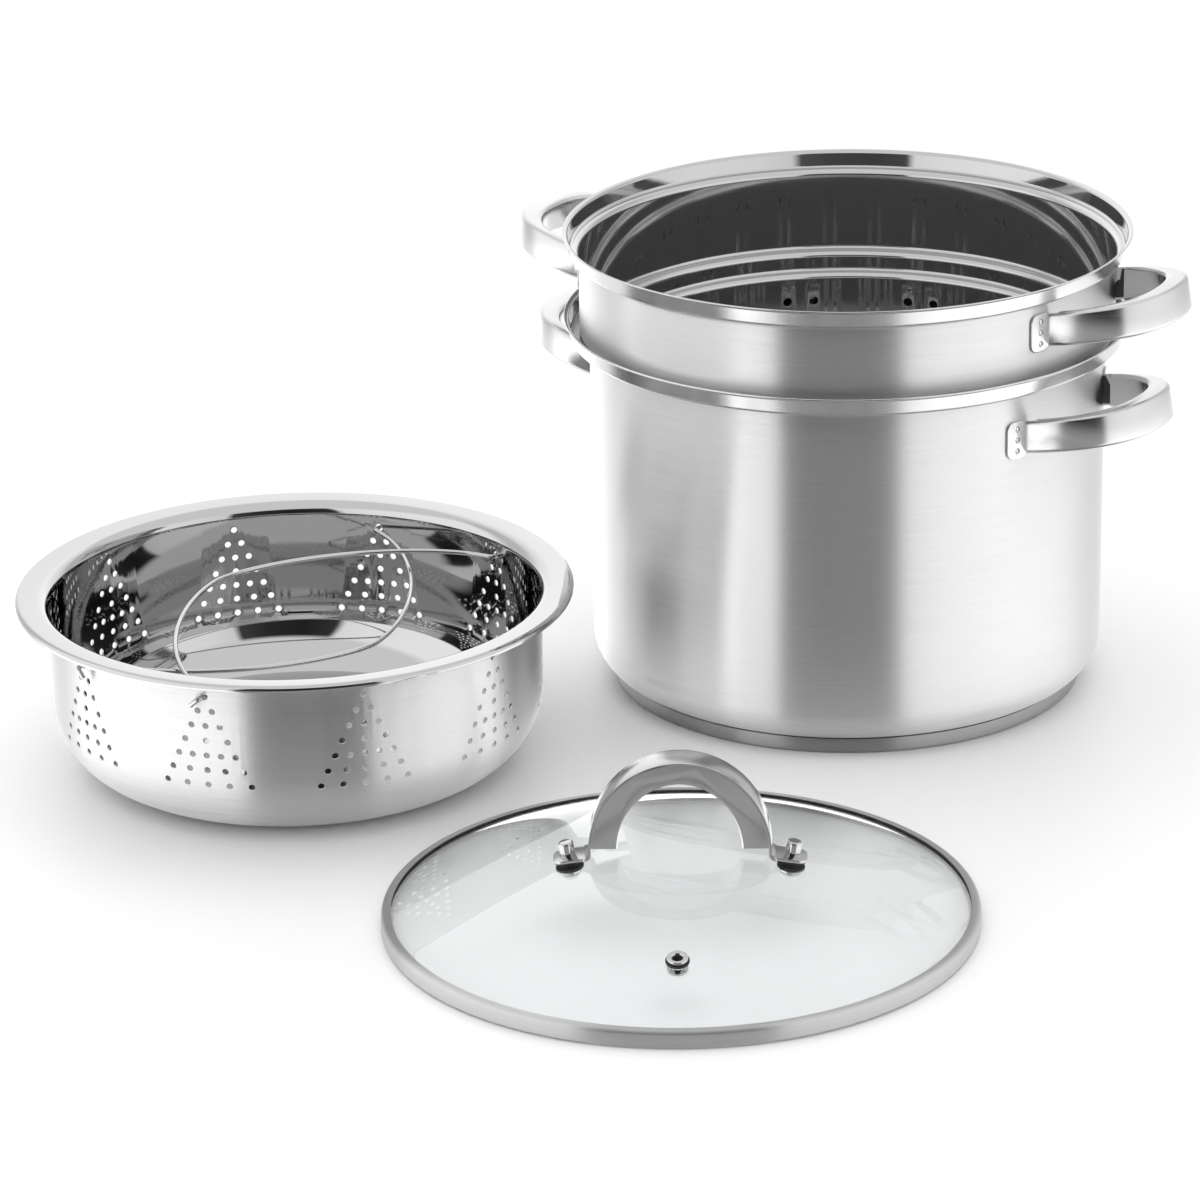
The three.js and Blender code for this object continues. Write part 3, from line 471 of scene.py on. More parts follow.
def rounded_plate(width, depth, radius):
    """Corners of a plate centred on the origin, rounded, and closed back to its start."""
    x = width / 2
    y = depth / 2
    start = (0, -y, 0)
    corners = [(x, -y, radius), (x, y, radius), (-x, y, radius), (-x, -y, radius)]
    return rounded_line([start, *corners, start])


# Modelling

def only(piece):
    """Makes a piece the one that operators act on."""
    bpy.ops.object.select_all(action="DESELECT")
    piece.select_set(True)
    bpy.context.view_layer.objects.active = piece


def newly_added(name):
    """The object that an operator has just added, under its name."""
    piece = bpy.context.object
    piece.name = name
    return piece


def extrude(way):
    """Extrudes what is selected in edit mode along a way."""
    bpy.ops.mesh.extrude_region_move(TRANSFORM_OT_translate={"value": way})


def face_outwards():
    """Turns all faces in edit mode outwards, and goes back to object mode."""
    bpy.ops.mesh.select_all(action="SELECT")
    bpy.ops.mesh.normals_make_consistent(inside=False)
    bpy.ops.object.mode_set(mode="OBJECT")


def draw_line(name, points):
    """Starts a mesh from one point and extrudes it along the rest, and stays in edit mode."""
    bpy.ops.object.select_all(action="DESELECT")
    bpy.ops.mesh.primitive_plane_add(location=(0, 0, 0))
    piece = newly_added(name)
    bpy.ops.object.mode_set(mode="EDIT")
    bpy.ops.mesh.select_all(action="SELECT")
    bpy.ops.mesh.merge(type="CENTER")
    bpy.ops.transform.translate(value=points[0])
    for before, after in zip(points, points[1:]):
        extrude(after - before)
    bpy.ops.mesh.select_all(action="SELECT")
    return piece


def turned(name, line, steps=TURN_STEPS):
    """Spins a line of (radius, height) points about the Z axis."""
    piece = draw_line(name, [Vector((point.x, 0, point.y)) for point in line])
    bpy.ops.mesh.spin(steps=steps, angle=WHOLE_TURN, center=(0, 0, 0), axis=UP)
    bpy.ops.mesh.select_all(action="SELECT")
    bpy.ops.mesh.remove_doubles(threshold=MERGE_DISTANCE)
    face_outwards()
    return piece


def raised(name, outline, height):
    """Fills an outline in the XY plane and raises it, with its middle at the origin's height."""
    piece = draw_line(name, [Vector((point.x, point.y, -height / 2)) for point in outline])
    bpy.ops.mesh.remove_doubles(threshold=MERGE_DISTANCE)
    bpy.ops.mesh.edge_face_add()
    extrude((0, 0, height))
    face_outwards()
    return piece


def placed(piece, matrix):
    """Moves a piece and puts its place into its mesh."""
    only(piece)
    piece.matrix_world = matrix
    bpy.ops.object.transform_apply(location=True, rotation=True, scale=True)
    return piece


def modified(piece, kind, **values):
    """Adds one modifier with its values and applies it."""
    modifier = piece.modifiers.new(kind.title(), kind)
    for name, value in values.items():
        setattr(modifier, name, value)
    only(piece)
    bpy.ops.object.modifier_apply(modifier=modifier.name)
    return piece


def coated(piece, *materials):
    """Gives a piece its materials, the one of its outer side first."""
    for material in materials:
        piece.data.materials.append(material)
    return piece


def thickened(piece, sheet, outward, inner_material=0, edge_material=0):
    """Gives an open sheet its thickness, away from the side that its furthest face has outward."""
    furthest = max(piece.data.polygons, key=lambda face: face.center.dot(outward))
    if furthest.normal.dot(outward) < 0:
        only(piece)
        bpy.ops.object.mode_set(mode="EDIT")
        bpy.ops.mesh.select_all(action="SELECT")
        bpy.ops.mesh.flip_normals()
        bpy.ops.object.mode_set(mode="OBJECT")
    return modified(
        piece,
        "SOLIDIFY",
        thickness=sheet,
        offset=-1,
        use_even_offset=True,
        material_offset=inner_material,
        material_offset_rim=edge_material,
    )


def outwards(face):
    """How far a face looks away from the Z axis."""
    return face.normal.xy.dot(face.center.xy)


def painted(piece, index, chosen=None):
    """Gives a piece's faces, or those that are chosen, another of its materials."""
    for face in piece.data.polygons:
        if chosen is None or chosen(face):
            face.material_index = index
    return piece


def edged(piece, height, index):
    """Gives the faces above a height that look outwards another of the piece's materials."""
    return painted(piece, index, lambda face: face.center.z > height and outwards(face) > 0)


def lined(piece, index):
    """Gives the upright faces that look inwards another of the piece's materials."""
    return painted(piece, index, lambda face: outwards(face) < 0 and abs(face.normal.z) < UPRIGHT)


def softened(piece, width, segments=2, angle=BEVEL_ANGLE):
    """Rounds the sharp edges of a piece."""
    return modified(piece, "BEVEL", width=width, segments=segments, limit_method="ANGLE", angle_limit=angle)


def combined(piece, tool, operation):
    """Joins, cuts or intersects a piece with a tool, and deletes the tool.

    A plain tool leaves the piece's own finish.
    """
    if not any(tool.data.materials):
        tool.data.materials.clear()
        coated(tool, *piece.data.materials)
    modified(piece, "BOOLEAN", object=tool, operation=operation, solver="MANIFOLD")
    only(tool)
    bpy.ops.object.delete()
    return piece


def cut(piece, tool):
    """Cuts a tool out of a piece."""
    return combined(piece, tool, "DIFFERENCE")


def copied(piece, name):
    """A copy of a piece with a mesh of its own."""
    only(piece)
    bpy.ops.object.duplicate(linked=False)
    return newly_added(name)


def tidied(piece):
    """Shades a piece smooth, with its sharp edges kept."""
    only(piece)
    bpy.ops.object.shade_smooth_by_angle(angle=SMOOTH_ANGLE)
    return piece


def finished(piece, body, slot, *nodes):
    """Smooths a piece, hangs it under the empty of its body, and hides the nodes that it stands in for."""
    tidied(piece)
    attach(piece, body)
    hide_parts(*nodes)
    return piece


def drills(places, diameter, depth):
    """One mesh of short drills, one for each (centre, turn) place."""
    bpy.ops.object.select_all(action="DESELECT")
    tool = None
    for centre, rotation in places:
        bpy.ops.mesh.primitive_cylinder_add(
            vertices=DRILL_SIDES, radius=diameter / 2, depth=depth, location=centre, rotation=rotation
        )
        if tool is None:
            tool = bpy.context.object
            bpy.ops.object.transform_apply(location=True, rotation=True)
            bpy.ops.object.mode_set(mode="EDIT")
    bpy.ops.object.mode_set(mode="OBJECT")
    return tool


def side_place(radius, angle, height):
    """Place of a drill that points out through a wall."""
    return (radius * cos(angle), radius * sin(angle), height), (0, pi / 2, angle)


# Finishes

def fed(node, inputs):
    """Feeds a node's inputs, by name or number, each with a value or from another node's socket."""
    for key, value in inputs.items():
        if isinstance(value, NodeSocket):
            node.id_data.links.new(value, node.inputs[key])
        else:
            node.inputs[key].default_value = value
    return node


def added(tree, kind, inputs, **options):
    """A new shader node with its options set and its inputs fed."""
    node = tree.nodes.new(kind)
    for name, value in options.items():
        setattr(node, name, value)
    return fed(node, inputs)


def shader_of(name, inputs):
    """A new material, its Principled shader with some inputs fed, and its node tree."""
    material = bpy.data.materials.new(name)
    material.use_nodes = True
    tree = material.node_tree
    return material, fed(tree.nodes["Principled BSDF"], inputs), tree


def shown(tree, surface):
    """Makes a shader the surface of the tree's material."""
    fed(tree.nodes["Material Output"], {"Surface": surface})


def linked_math(tree, operation, first, second):
    """A Math node on two inputs, each a socket or a number."""
    return added(tree, "ShaderNodeMath", {0: first, 1: second}, operation=operation).outputs[0]


def times(tree, first, second):
    """The product of two inputs."""
    return linked_math(tree, "MULTIPLY", first, second)


def ranged(tree, value, source, target=(0, 1), kind="LINEAR"):
    """Carries a value over from one range to another."""
    limits = zip(("From Min", "From Max", "To Min", "To Max"), (*source, *target))
    inputs = {"Value": value, **dict(limits)}
    return added(tree, "ShaderNodeMapRange", inputs, interpolation_type=kind).outputs["Result"]


def mixed_shader(tree, factor, first, second):
    """Goes from the first shader to the second by a factor."""
    return added(tree, "ShaderNodeMixShader", {0: factor, 1: first, 2: second}).outputs[0]


def ray_kinds(tree):
    """What a Light Path node says, the rays that the camera sees by and those that mirrors see by."""
    path = added(tree, "ShaderNodeLightPath", {}).outputs
    through = path["Is Transmission Ray"]
    seen = linked_math(tree, "MAXIMUM", path["Is Camera Ray"], through)
    mirrored = linked_math(tree, "SUBTRACT", path["Is Glossy Ray"], through)
    return path, seen, mirrored


def object_place(tree, key, value):
    """Object coordinates through a Mapping node with one of its inputs set."""
    place = added(tree, "ShaderNodeTexCoord", {}).outputs["Object"]
    return added(tree, "ShaderNodeMapping", {"Vector": place, key: value}).outputs[0]


def round_lines(tree, centre, lines_per_metre):
    """Noise in fine lines that run round the Z axis through a centre."""
    x, y, z = added(tree, "ShaderNodeSeparateXYZ", {0: object_place(tree, "Location", -centre)}).outputs
    flat = added(tree, "ShaderNodeCombineXYZ", {0: x, 1: y}).outputs[0]
    radius = added(tree, "ShaderNodeVectorMath", {0: flat}, operation="LENGTH").outputs["Value"]
    joined = added(tree, "ShaderNodeCombineXYZ", {
        0: times(tree, linked_math(tree, "ARCTAN2", y, x), NOISE_PER_RADIAN),
        1: times(tree, z, lines_per_metre),
        2: times(tree, radius, lines_per_metre),
    })
    inputs = {"Vector": joined.outputs[0], "Scale": 1, "Detail": 3, "Roughness": 0.6}
    return added(tree, "ShaderNodeTexNoise", inputs).outputs["Fac"]


def varied(tree, noise, roughness, spread):
    """A roughness spread by noise between two shares of it."""
    return ranged(tree, noise, NOISE_RANGE, [roughness * part for part in spread])


def scratched(tree, noise, strength):
    """Turns noise into shallow relief."""
    inputs = {"Strength": strength, "Distance": SCRATCH_DEPTH, "Height": noise}
    return added(tree, "ShaderNodeBump", inputs).outputs["Normal"]


def brushed_steel(settings, name, centre, tint):
    """Satin steel of a tint, brushed round the piece's axis."""
    finish = settings.finish
    grain = {"Metallic": 1, "Anisotropic": finish.grain, "Anisotropic Rotation": ACROSS}
    material, shader, tree = shader_of(name, grain)
    lines = round_lines(tree, centre, BRUSH_LINES)
    lightness = ranged(tree, lines, NOISE_RANGE, (1 - finish.streaks, 1 + finish.streaks))
    streaked = added(tree, "ShaderNodeVectorMath", {0: tint[:3], "Scale": lightness}, operation="SCALE")
    tangent = added(tree, "ShaderNodeTangent", {}, direction_type="RADIAL", axis="Z")
    fed(shader, {
        "Base Color": streaked.outputs[0],
        "Roughness": varied(tree, lines, finish.satin, SATIN_SPREAD),
        "Normal": scratched(tree, lines, BRUSH_RELIEF),
        "Tangent": tangent.outputs[0],
    })
    return material


def polished_steel(settings, name, centre, haze=0):
    """Mirror steel with faint turning marks and a little haze."""
    finish = settings.finish
    material, shader, tree = shader_of(name, {"Base Color": finish.bright, "Metallic": 1 - haze})
    lines = round_lines(tree, centre, POLISH_LINES)
    fed(shader, {"Roughness": varied(tree, lines, finish.polish, POLISH_SPREAD)})
    return material


def satin_steel(settings, name, tint):
    """Satin steel of a tint, brushed in fine short strokes."""
    material, shader, tree = shader_of(name, {"Base Color": tint, "Metallic": 1})
    inputs = {"Vector": object_place(tree, "Scale", STROKES), "Scale": 1, "Detail": 2}
    strokes = added(tree, "ShaderNodeTexNoise", inputs).outputs["Fac"]
    fed(shader, {
        "Roughness": varied(tree, strokes, settings.finish.formed, SATIN_SPREAD),
        "Normal": scratched(tree, strokes, STROKE_RELIEF),
    })
    return material


def plain_finish(name, tint, roughness, metallic=0):
    """An even finish: near-black painted shade inside hollow pieces, the aluminium disc, and silicone."""
    return shader_of(name, {"Base Color": tint, "Roughness": roughness, "Metallic": metallic})[0]


def clear_glass(settings, name):
    """Clear tempered glass that lets light through to what lies under it."""
    finish = settings.finish
    material, shader, tree = shader_of(name, {
        "Base Color": finish.glass,
        "Roughness": GLASS_ROUGHNESS,
        "IOR": GLASS_INDEX,
        "Transmission Weight": 1,
    })
    clear = added(tree, "ShaderNodeBsdfTransparent", {"Color": finish.glass_shadow})
    path, _, mirrored = ray_kinds(tree)
    through = linked_math(tree, "MAXIMUM", path["Is Shadow Ray"], mirrored)
    shown(tree, mixed_shader(tree, through, shader.outputs[0], clear.outputs[0]))
    return material


# Pieces

def rim_corners(rim, wall_radius, ledge, sheet):
    """Corners of the flared rim above a wall, along the sheet's outer face."""
    seat = rim.radius - rim.seat_inset
    top = ledge + rim.height
    return [
        (wall_radius, ledge - sheet, rim.neck_round),
        (seat + sheet, ledge - sheet, rim.seat_round),
        (rim.radius - rim.lip_inset, top - rim.lip_curl, rim.seat_round / 2),
        (rim.radius, top - sheet, 0),
    ]


def settings_of(context):
    return context.scene.pasta_pot


def drawn_shell(settings, name, line, sheet, ledge):
    """A turned shell: brushed outside, polished inside, and satin outside its rim."""
    finish = settings.finish
    shell = coated(
        turned(f"{name}_shell", line),
        brushed_steel(settings, f"{name}_brushed_steel", Vector(), finish.steel),
        polished_steel(settings, f"{name}_polished_steel", Vector(), finish.haze),
        satin_steel(settings, f"{name}_rim_satin_steel", finish.formed_steel),
    )
    edged(thickened(shell, sheet, -UP, SECOND), ledge - sheet, THIRD)
    return softened(shell, settings.rim.edge)


class PASTAPOT_OT_pot(Operator):
    """Models the pot's wall and the cap of its base"""

    bl_idname = "pasta_pot.pot"
    bl_label = "Pot"

    def execute(self, context):
        settings = settings_of(context)
        pot = settings.pot
        line = rounded_line([
            (0, pot.base_height, 0),
            (pot.wall_radius, pot.base_height, pot.corner),
            *rim_corners(settings.rim, pot.wall_radius, pot.ledge, pot.sheet),
        ])
        shell = drawn_shell(settings, "pot", line, pot.sheet, pot.ledge)
        finished(shell, "pot", "brushed_steel", "pot_body")

        past = pot.base_radius - pot.base_sheet - (pot.wall_radius - pot.corner)
        cap_top = pot.base_height + pot.corner - sqrt(pot.corner ** 2 - past ** 2) - pot.base_seam
        line = rounded_line([(0, 0, 0), (pot.base_radius, 0, pot.base_edge), (pot.base_radius, cap_top, 0)])
        # The base cap's darker steel is painted shade.
        base = brushed_steel(settings, "base_shaded_brushed_steel", Vector(), settings.finish.shaded_base_steel)
        cap = coated(turned("base_cap", line), base)
        softened(thickened(cap, pot.base_sheet, -UP), width=pot.base_sheet / 3)
        finished(cap, "pot", "brushed_steel", "pot_base_cap")

        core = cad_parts["pot_base_core"]
        core.data.materials.clear()
        coated(core, plain_finish("base_aluminium", settings.finish.disc, DISC_ROUGHNESS, metallic=1))
        return {"FINISHED"}


class PASTAPOT_OT_insert(Operator):
    """Models the pasta insert with its holes"""

    bl_idname = "pasta_pot.insert"
    bl_label = "Pasta insert"

    def execute(self, context):
        settings = settings_of(context)
        insert = settings.insert
        line = rounded_line([
            (0, insert.floor, 0),
            (insert.wall_radius, insert.floor, insert.corner),
            (insert.wall_radius, insert.step_bottom, insert.step_round),
            (insert.step_radius, insert.step_bottom, insert.step_round),
            (insert.step_radius, insert.shoulder, insert.step_round),
            (insert.collar_radius, insert.shoulder, insert.step_round),
            *rim_corners(settings.rim, insert.collar_radius, insert.ledge, insert.sheet),
        ])
        shell = drawn_shell(settings, "insert", line, insert.sheet, insert.ledge)
        places = []
        for pair in range(insert.pairs):
            for side in (-1, 1):
                angle = insert.first_angle + WHOLE_TURN * pair / insert.pairs + side * insert.pair_angle / 2
                for row in range(insert.rows):
                    height = insert.top_row - row * insert.row_pitch
                    places.append(side_place(insert.wall_radius, angle, height))
        for ring, count in enumerate(FLOOR_RINGS):
            for step in range(count):
                angle = WHOLE_TURN * step / count
                out = ring * insert.floor_ring
                places.append(((out * cos(angle), out * sin(angle), insert.floor), (0, 0, angle)))
        drill_length = insert.corner / 2
        cut(shell, drills(places, insert.hole, drill_length))
        placed(shell, Matrix.Rotation(insert.turn, 4, "Z"))
        finished(shell, "insert", "brushed_steel", "insert_body")
        return {"FINISHED"}


def chord_of(handle, radius):
    """Distance of the line between a handle's legs from the axis of its wall."""
    return sqrt(radius ** 2 - handle.half_width ** 2)


def loop_plan(handle, radius, outer, inner):
    """Plan of a handle's band between two insets (at its sides, at its end), from behind the wall."""
    reach = radius + handle.reach - chord_of(handle, radius)
    behind = handle.half_width
    runs = []
    for side, end in (outer, inner):
        arch = arch_line(handle.half_width - side, reach - end, handle.squareness, LOOP_STEPS)
        run = [Vector((point.y, point.x)) for point in arch]
        runs.append([Vector((-behind, run[0].y)), *run, Vector((-behind, run[-1].y))])
    return [*runs[0], *reversed(runs[1])]


def handle_place(handle, radius, height, angle):
    """Where a handle's plan goes: tilted about its chord, at its height and angle."""
    tilt = Matrix.Rotation(-handle.tilt, 4, "Y")
    out = Matrix.Translation((chord_of(handle, radius), 0, height))
    return Matrix.Rotation(angle, 4, "Z") @ out @ tilt


def post(name, radius, height, reach):
    """A plain upright cylinder about the Z axis."""
    low = height - reach
    high = height + reach
    corners = [(0, low), (radius, low), (radius, high), (0, high)]
    return turned(name, [Vector(corner) for corner in corners])


def handle_tab(handle, radius, height, angle):
    """A tab that lies on the wall, with its spot welds in a line."""
    low = height - handle.tab_height
    high = height + handle.tab_height
    outer = radius + handle.sheet
    corners = [(radius, low), (outer, low), (outer, high), (radius, high), (radius, low)]
    skin = turned("tab_skin", [Vector(corner) for corner in corners])
    outline = rounded_plate(handle.tab_height, handle.tab_width, handle.tab_corner)
    plate = raised("tab", outline, handle.tab_height)
    upright = Matrix.Translation((radius, 0, height)) @ Matrix.Rotation(pi / 2, 4, "Y")
    placed(plate, Matrix.Rotation(angle, 4, "Z") @ upright)
    softened(combined(plate, skin, "INTERSECT"), handle.tab_edge, segments=3)
    dent = outer + handle.weld_radius - handle.weld_depth
    for row in (-1, 0, 1):
        bpy.ops.mesh.primitive_uv_sphere_add(
            segments=WELD_SEGMENTS,
            ring_count=WELD_SEGMENTS // 2,
            radius=handle.weld_radius,
            location=(dent * cos(angle), dent * sin(angle), height + row * handle.weld_pitch),
        )
        cut(plate, bpy.context.object)
    return plate


def shaped_handle(name, steel, painted_shade, handle, radius, height, angle):
    """A hollow loop handle. Its open legs stop short of the wall, and its outer sheet runs on to tabs."""
    place = handle_place(handle, radius, height, angle)
    none = (0, 0)
    skin = (handle.sheet, handle.sheet)
    hole = (handle.leg_width, handle.end_width)
    lining = (handle.leg_width - handle.sheet, handle.end_width - handle.sheet)
    band = coated(raised(name, loop_plan(handle, radius, none, hole), handle.height), steel, painted_shade)
    placed(softened(band, handle.edge, segments=4, angle=LOOP_BEVEL_ANGLE), place)
    hollow = raised("hollow", loop_plan(handle, radius, skin, lining), handle.height - 2 * handle.sheet)
    # The hollow's faces, and so the inside that it cuts into the band, get the near-black painted shade.
    painted(coated(placed(hollow, place), steel, painted_shade), SECOND)
    cut(band, hollow)
    outer_sheet = raised("outer_sheet", loop_plan(handle, radius, none, skin), 2 * handle.height)
    past_tabs = 2 * handle.tab_height
    leg_cut = post("leg_cut", radius + handle.end_gap, height, past_tabs)
    cut(leg_cut, placed(outer_sheet, place))
    cut(band, leg_cut)
    tab_angle = asin((handle.half_width - handle.sheet) / radius) + handle.tab_width / 2 / radius
    for side in (-1, 1):
        combined(band, handle_tab(handle, radius, height, angle + side * tab_angle), "UNION")
    return cut(band, post("wall", radius, height, past_tabs))


class PASTAPOT_OT_handles(Operator):
    """Models the loop handles of the pot and the insert"""

    bl_idname = "pasta_pot.handles"
    bl_label = "Side handles"

    def execute(self, context):
        settings = settings_of(context)
        handle = settings.handle
        steel = satin_steel(settings, "handle_satin_steel", settings.finish.formed_steel)
        # Near-black painted shade for the inside of the hollow handles.
        painted_shade = plain_finish("handle_painted_shade", settings.finish.painted_shade, DULL)
        sets = [
            ("pot", settings.pot.wall_radius, handle.pot_height, 0),
            ("insert", settings.insert.collar_radius, handle.insert_height, settings.insert.handle_turn),
        ]
        for body, radius, height, angle in sets:
            right = shaped_handle(f"{body}_loop_right", steel, painted_shade, handle, radius, height, angle)
            left = placed(copied(right, f"{body}_loop_left"), Matrix.Rotation(pi, 4, "Z"))
            finished(right, body, "brushed_steel", f"{body}_handle_right")
            finished(left, body, "brushed_steel", f"{body}_handle_left")
        return {"FINISHED"}


class PASTAPOT_OT_basket(Operator):
    """Models the steamer basket with its groups of holes"""

    bl_idname = "pasta_pot.basket"
    bl_label = "Steamer basket"

    def execute(self, context):
        settings = settings_of(context)
        basket = settings.basket
        outside = brushed_steel(settings, "basket_brushed_steel", BASKET_CENTRE, settings.finish.steel)
        inside = polished_steel(settings, "basket_polished_steel", BASKET_CENTRE)
        underside = basket.height - basket.sheet
        lip_radius = basket.flange_radius - basket.sheet
        line = rounded_line([
            (0, 0, 0),
            (basket.wall_radius, 0, basket.corner),
            (basket.wall_radius, underside - basket.flange_rise, basket.flange_round),
            (lip_radius, underside, basket.lip / 2),
            (lip_radius, basket.height - basket.lip, 0),
        ])
        shell = coated(turned("basket_shell", line), outside, inside)
        softened(thickened(shell, basket.sheet, -UP, SECOND), settings.rim.edge)
        plain = []
        hooked = []
        for group in range(basket.groups):
            turn_to_group = WHOLE_TURN * group / basket.groups
            for row, count in enumerate(GROUP_ROWS):
                for step in range(count):
                    across = step / (count - 1) - 0.5 if count > 1 else 0
                    angle = turn_to_group + across * row * basket.row_spread
                    place = side_place(basket.wall_radius, angle, basket.top_hole - row * basket.row_pitch)
                    holds_bail = row == 0 and group % (basket.groups // 2) in BAIL_GROUPS
                    (hooked if holds_bail else plain).append(place)
        drill_length = basket.corner / 3
        cut(shell, drills(plain, basket.hole, drill_length))
        cut(shell, drills(hooked, basket.bail_hole, drill_length))
        placed(shell, Matrix.Translation(BASKET_CENTRE) @ Matrix.Rotation(basket.turn, 4, "Z"))
        finished(shell, "basket", "polished_steel", "basket_body")
        return {"FINISHED"}


def wire_bend(before, at, after, radius):
    """Points round a bend of the wire."""
    start = at + (before - at).normalized() * radius
    end = at + (after - at).normalized() * radius
    points = []
    for step in range(BEND_STEPS + 1):
        part = step / BEND_STEPS
        points.append(start * (1 - part) ** 2 + at * 2 * part * (1 - part) + end * part ** 2)
    return points


def bail_line(basket, bail, lean):
    """The wire of the bail that is hinged on the basket's +X side, from one hooked end to the other."""
    half_angle = 2 * WHOLE_TURN / basket.groups
    hinge = basket.wall_radius * cos(half_angle)
    wall = basket.wall_radius * sin(half_angle)
    foot = wall - bail.inset

    def at(y, out, angle):
        return Vector((hinge - out * cos(angle), y, basket.top_hole + out * sin(angle)))

    ends = []
    for side in (1, -1):
        hook_y = side * (wall + bail.hook_out)
        tip = at(hook_y, bail.hook_length, lean + bail.hook_angle)
        hook = at(hook_y, 0, lean)
        leg = at(side * foot, 0, lean)
        rise = at(side * foot, bail.reach, lean)
        ends.append([tip, *wire_bend(tip, hook, leg, bail.bend), *wire_bend(hook, leg, rise, bail.bend)])
    arch = arch_line(foot, bail.reach, bail.sharpness, BAIL_STEPS)
    over = [at(point.x, point.y, lean) for point in arch if point.y > bail.bend * ARCH_START]
    return [*ends[0], *over, *reversed(ends[1])]


def wire_along(name, points, diameter):
    """A round wire along a line of points."""
    piece = draw_line(name, points)
    bpy.ops.object.mode_set(mode="OBJECT")
    only(piece)
    bpy.ops.object.convert(target="CURVE")
    piece.data.bevel_depth = diameter / 2
    piece.data.bevel_resolution = WIRE_RESOLUTION
    piece.data.use_fill_caps = True
    bpy.ops.object.convert(target="MESH")
    return piece


class PASTAPOT_OT_bails(Operator):
    """Models the two wire bails of the basket"""

    bl_idname = "pasta_pot.bails"
    bl_label = "Bails"

    def execute(self, context):
        settings = settings_of(context)
        bail = settings.bail
        steel = polished_steel(settings, "bail_polished_steel", BASKET_CENTRE)
        for side, lean, start in (("right", bail.right_lean, 0), ("left", bail.left_lean, pi)):
            piece = wire_along(f"{side}_wire", bail_line(settings.basket, bail, lean), bail.wire)
            turn_in_basket = Matrix.Rotation(settings.basket.turn + start, 4, "Z")
            placed(piece, Matrix.Translation(BASKET_CENTRE) @ turn_in_basket)
            finished(coated(piece, steel), f"{side}_bail", "polished_steel", f"bail_{side}")
        return {"FINISHED"}


class Dome:
    """The upper face of the lid's glass, and places on it."""

    def __init__(self, lid):
        self.top = lid.height
        self.brim = lid.band_height - lid.band_sheet - lid.gap
        self.edge = lid.radius - lid.band_lip - lid.gap
        rise = self.top - self.brim
        self.radius = (self.edge ** 2 + rise ** 2) / (2 * rise)
        self.centre = Matrix.Translation(LID_CENTRE) @ Matrix.Rotation(lid.turn, 4, "Z")

    def height(self, out):
        return self.top - self.radius + sqrt(self.radius ** 2 - out ** 2)

    def place(self, out, angle=0):
        """Where a piece stands on the glass, square to it, at a distance from the middle."""
        square = Matrix.Rotation(asin(out / self.radius), 4, "Y")
        local = Matrix.Translation((out, 0, self.height(out))) @ square
        return Matrix.Rotation(angle, 4, "Z") @ local

    def in_frame(self, matrix):
        return self.centre @ matrix


def under_glass(dome, lid, out):
    """Height of the glass's lower face along the axis of a piece on the dome."""
    return -lid.glass / cos(asin(out / dome.radius))


def washer_line(bore, radius, low, high):
    """Section of a flat ring, its outer edges rounded by a quarter of its height."""
    edge = (high - low) / 4
    return rounded_line([
        (bore, low, 0),
        (radius, low, edge),
        (radius, high, edge),
        (bore, high, 0),
        (bore, low, 0),
    ])


class PASTAPOT_OT_lid(Operator):
    """Models the lid's glass dome and its steel band"""

    bl_idname = "pasta_pot.lid"
    bl_label = "Lid"

    def execute(self, context):
        settings = settings_of(context)
        lid = settings.lid
        dome = Dome(lid)
        top = []
        for step in range(DOME_STEPS + 1):
            out = dome.edge * step / DOME_STEPS
            top.append(Vector((out, dome.height(out))))
        top.append(Vector((lid.radius - lid.band_sheet - lid.gap, dome.brim)))
        below = [point - Vector((0, lid.glass)) for point in reversed(top)]
        glass = coated(turned("lid_dome", [*top, *below]), clear_glass(settings, "lid_glass"))
        holes = [
            (dome.place(lid.foot_spacing / 2), lid.screw_radius),
            (dome.place(-lid.foot_spacing / 2), lid.screw_radius),
            (dome.place(lid.vent_offset, -pi / 2), lid.vent_tube),
        ]
        past_glass = 3 * lid.glass
        for matrix, radius in holes:
            drill = post("drill", radius + lid.gap, 0, past_glass)
            cut(glass, placed(drill, matrix))
        placed(glass, dome.centre)
        finished(glass, "lid", "glass", "lid_glass")

        lower_lip = dome.brim - lid.glass - lid.gap - lid.band_sheet
        line = rounded_line([
            (lid.radius - lid.band_lip, lower_lip, 0),
            (lid.radius, 0, lid.band_edge / 2),
            (lid.radius - lid.band_lean, lid.band_height, lid.band_edge),
            (lid.radius - lid.band_lip, lid.band_height, 0),
        ])
        outside = brushed_steel(settings, "band_brushed_steel", LID_CENTRE, settings.finish.formed_steel)
        # The band's inner side and cut edges get near-black painted shade, for the shaded gap round the
        # glass's edge.
        inside = plain_finish("band_painted_shade", settings.finish.painted_shade, DULL)
        band = coated(turned("lid_band", line), outside, inside)
        softened(thickened(band, lid.band_sheet, -UP, SECOND, SECOND), width=lid.band_sheet / 4)
        finished(placed(band, dome.centre), "lid", "brushed_steel", "lid_rim")
        return {"FINISHED"}


def half_ring(name, outer, inner, depth, base):
    """An upright arch between two half ellipses (half width, height), standing along X."""
    over = arch_line(*outer, ELLIPSE, ARCH_STEPS)
    under = arch_line(*inner, ELLIPSE, ARCH_STEPS)
    upright = Matrix.Translation((0, 0, base)) @ Matrix.Rotation(pi / 2, 4, "X")
    return placed(raised(name, [*over, *reversed(under)], depth), upright)


def foot_height(settings):
    """Height of the upper face of a foot of the lid's handle above the glass."""
    return 2 * settings.lid.gap + settings.lid.gasket + settings.arch.sheet


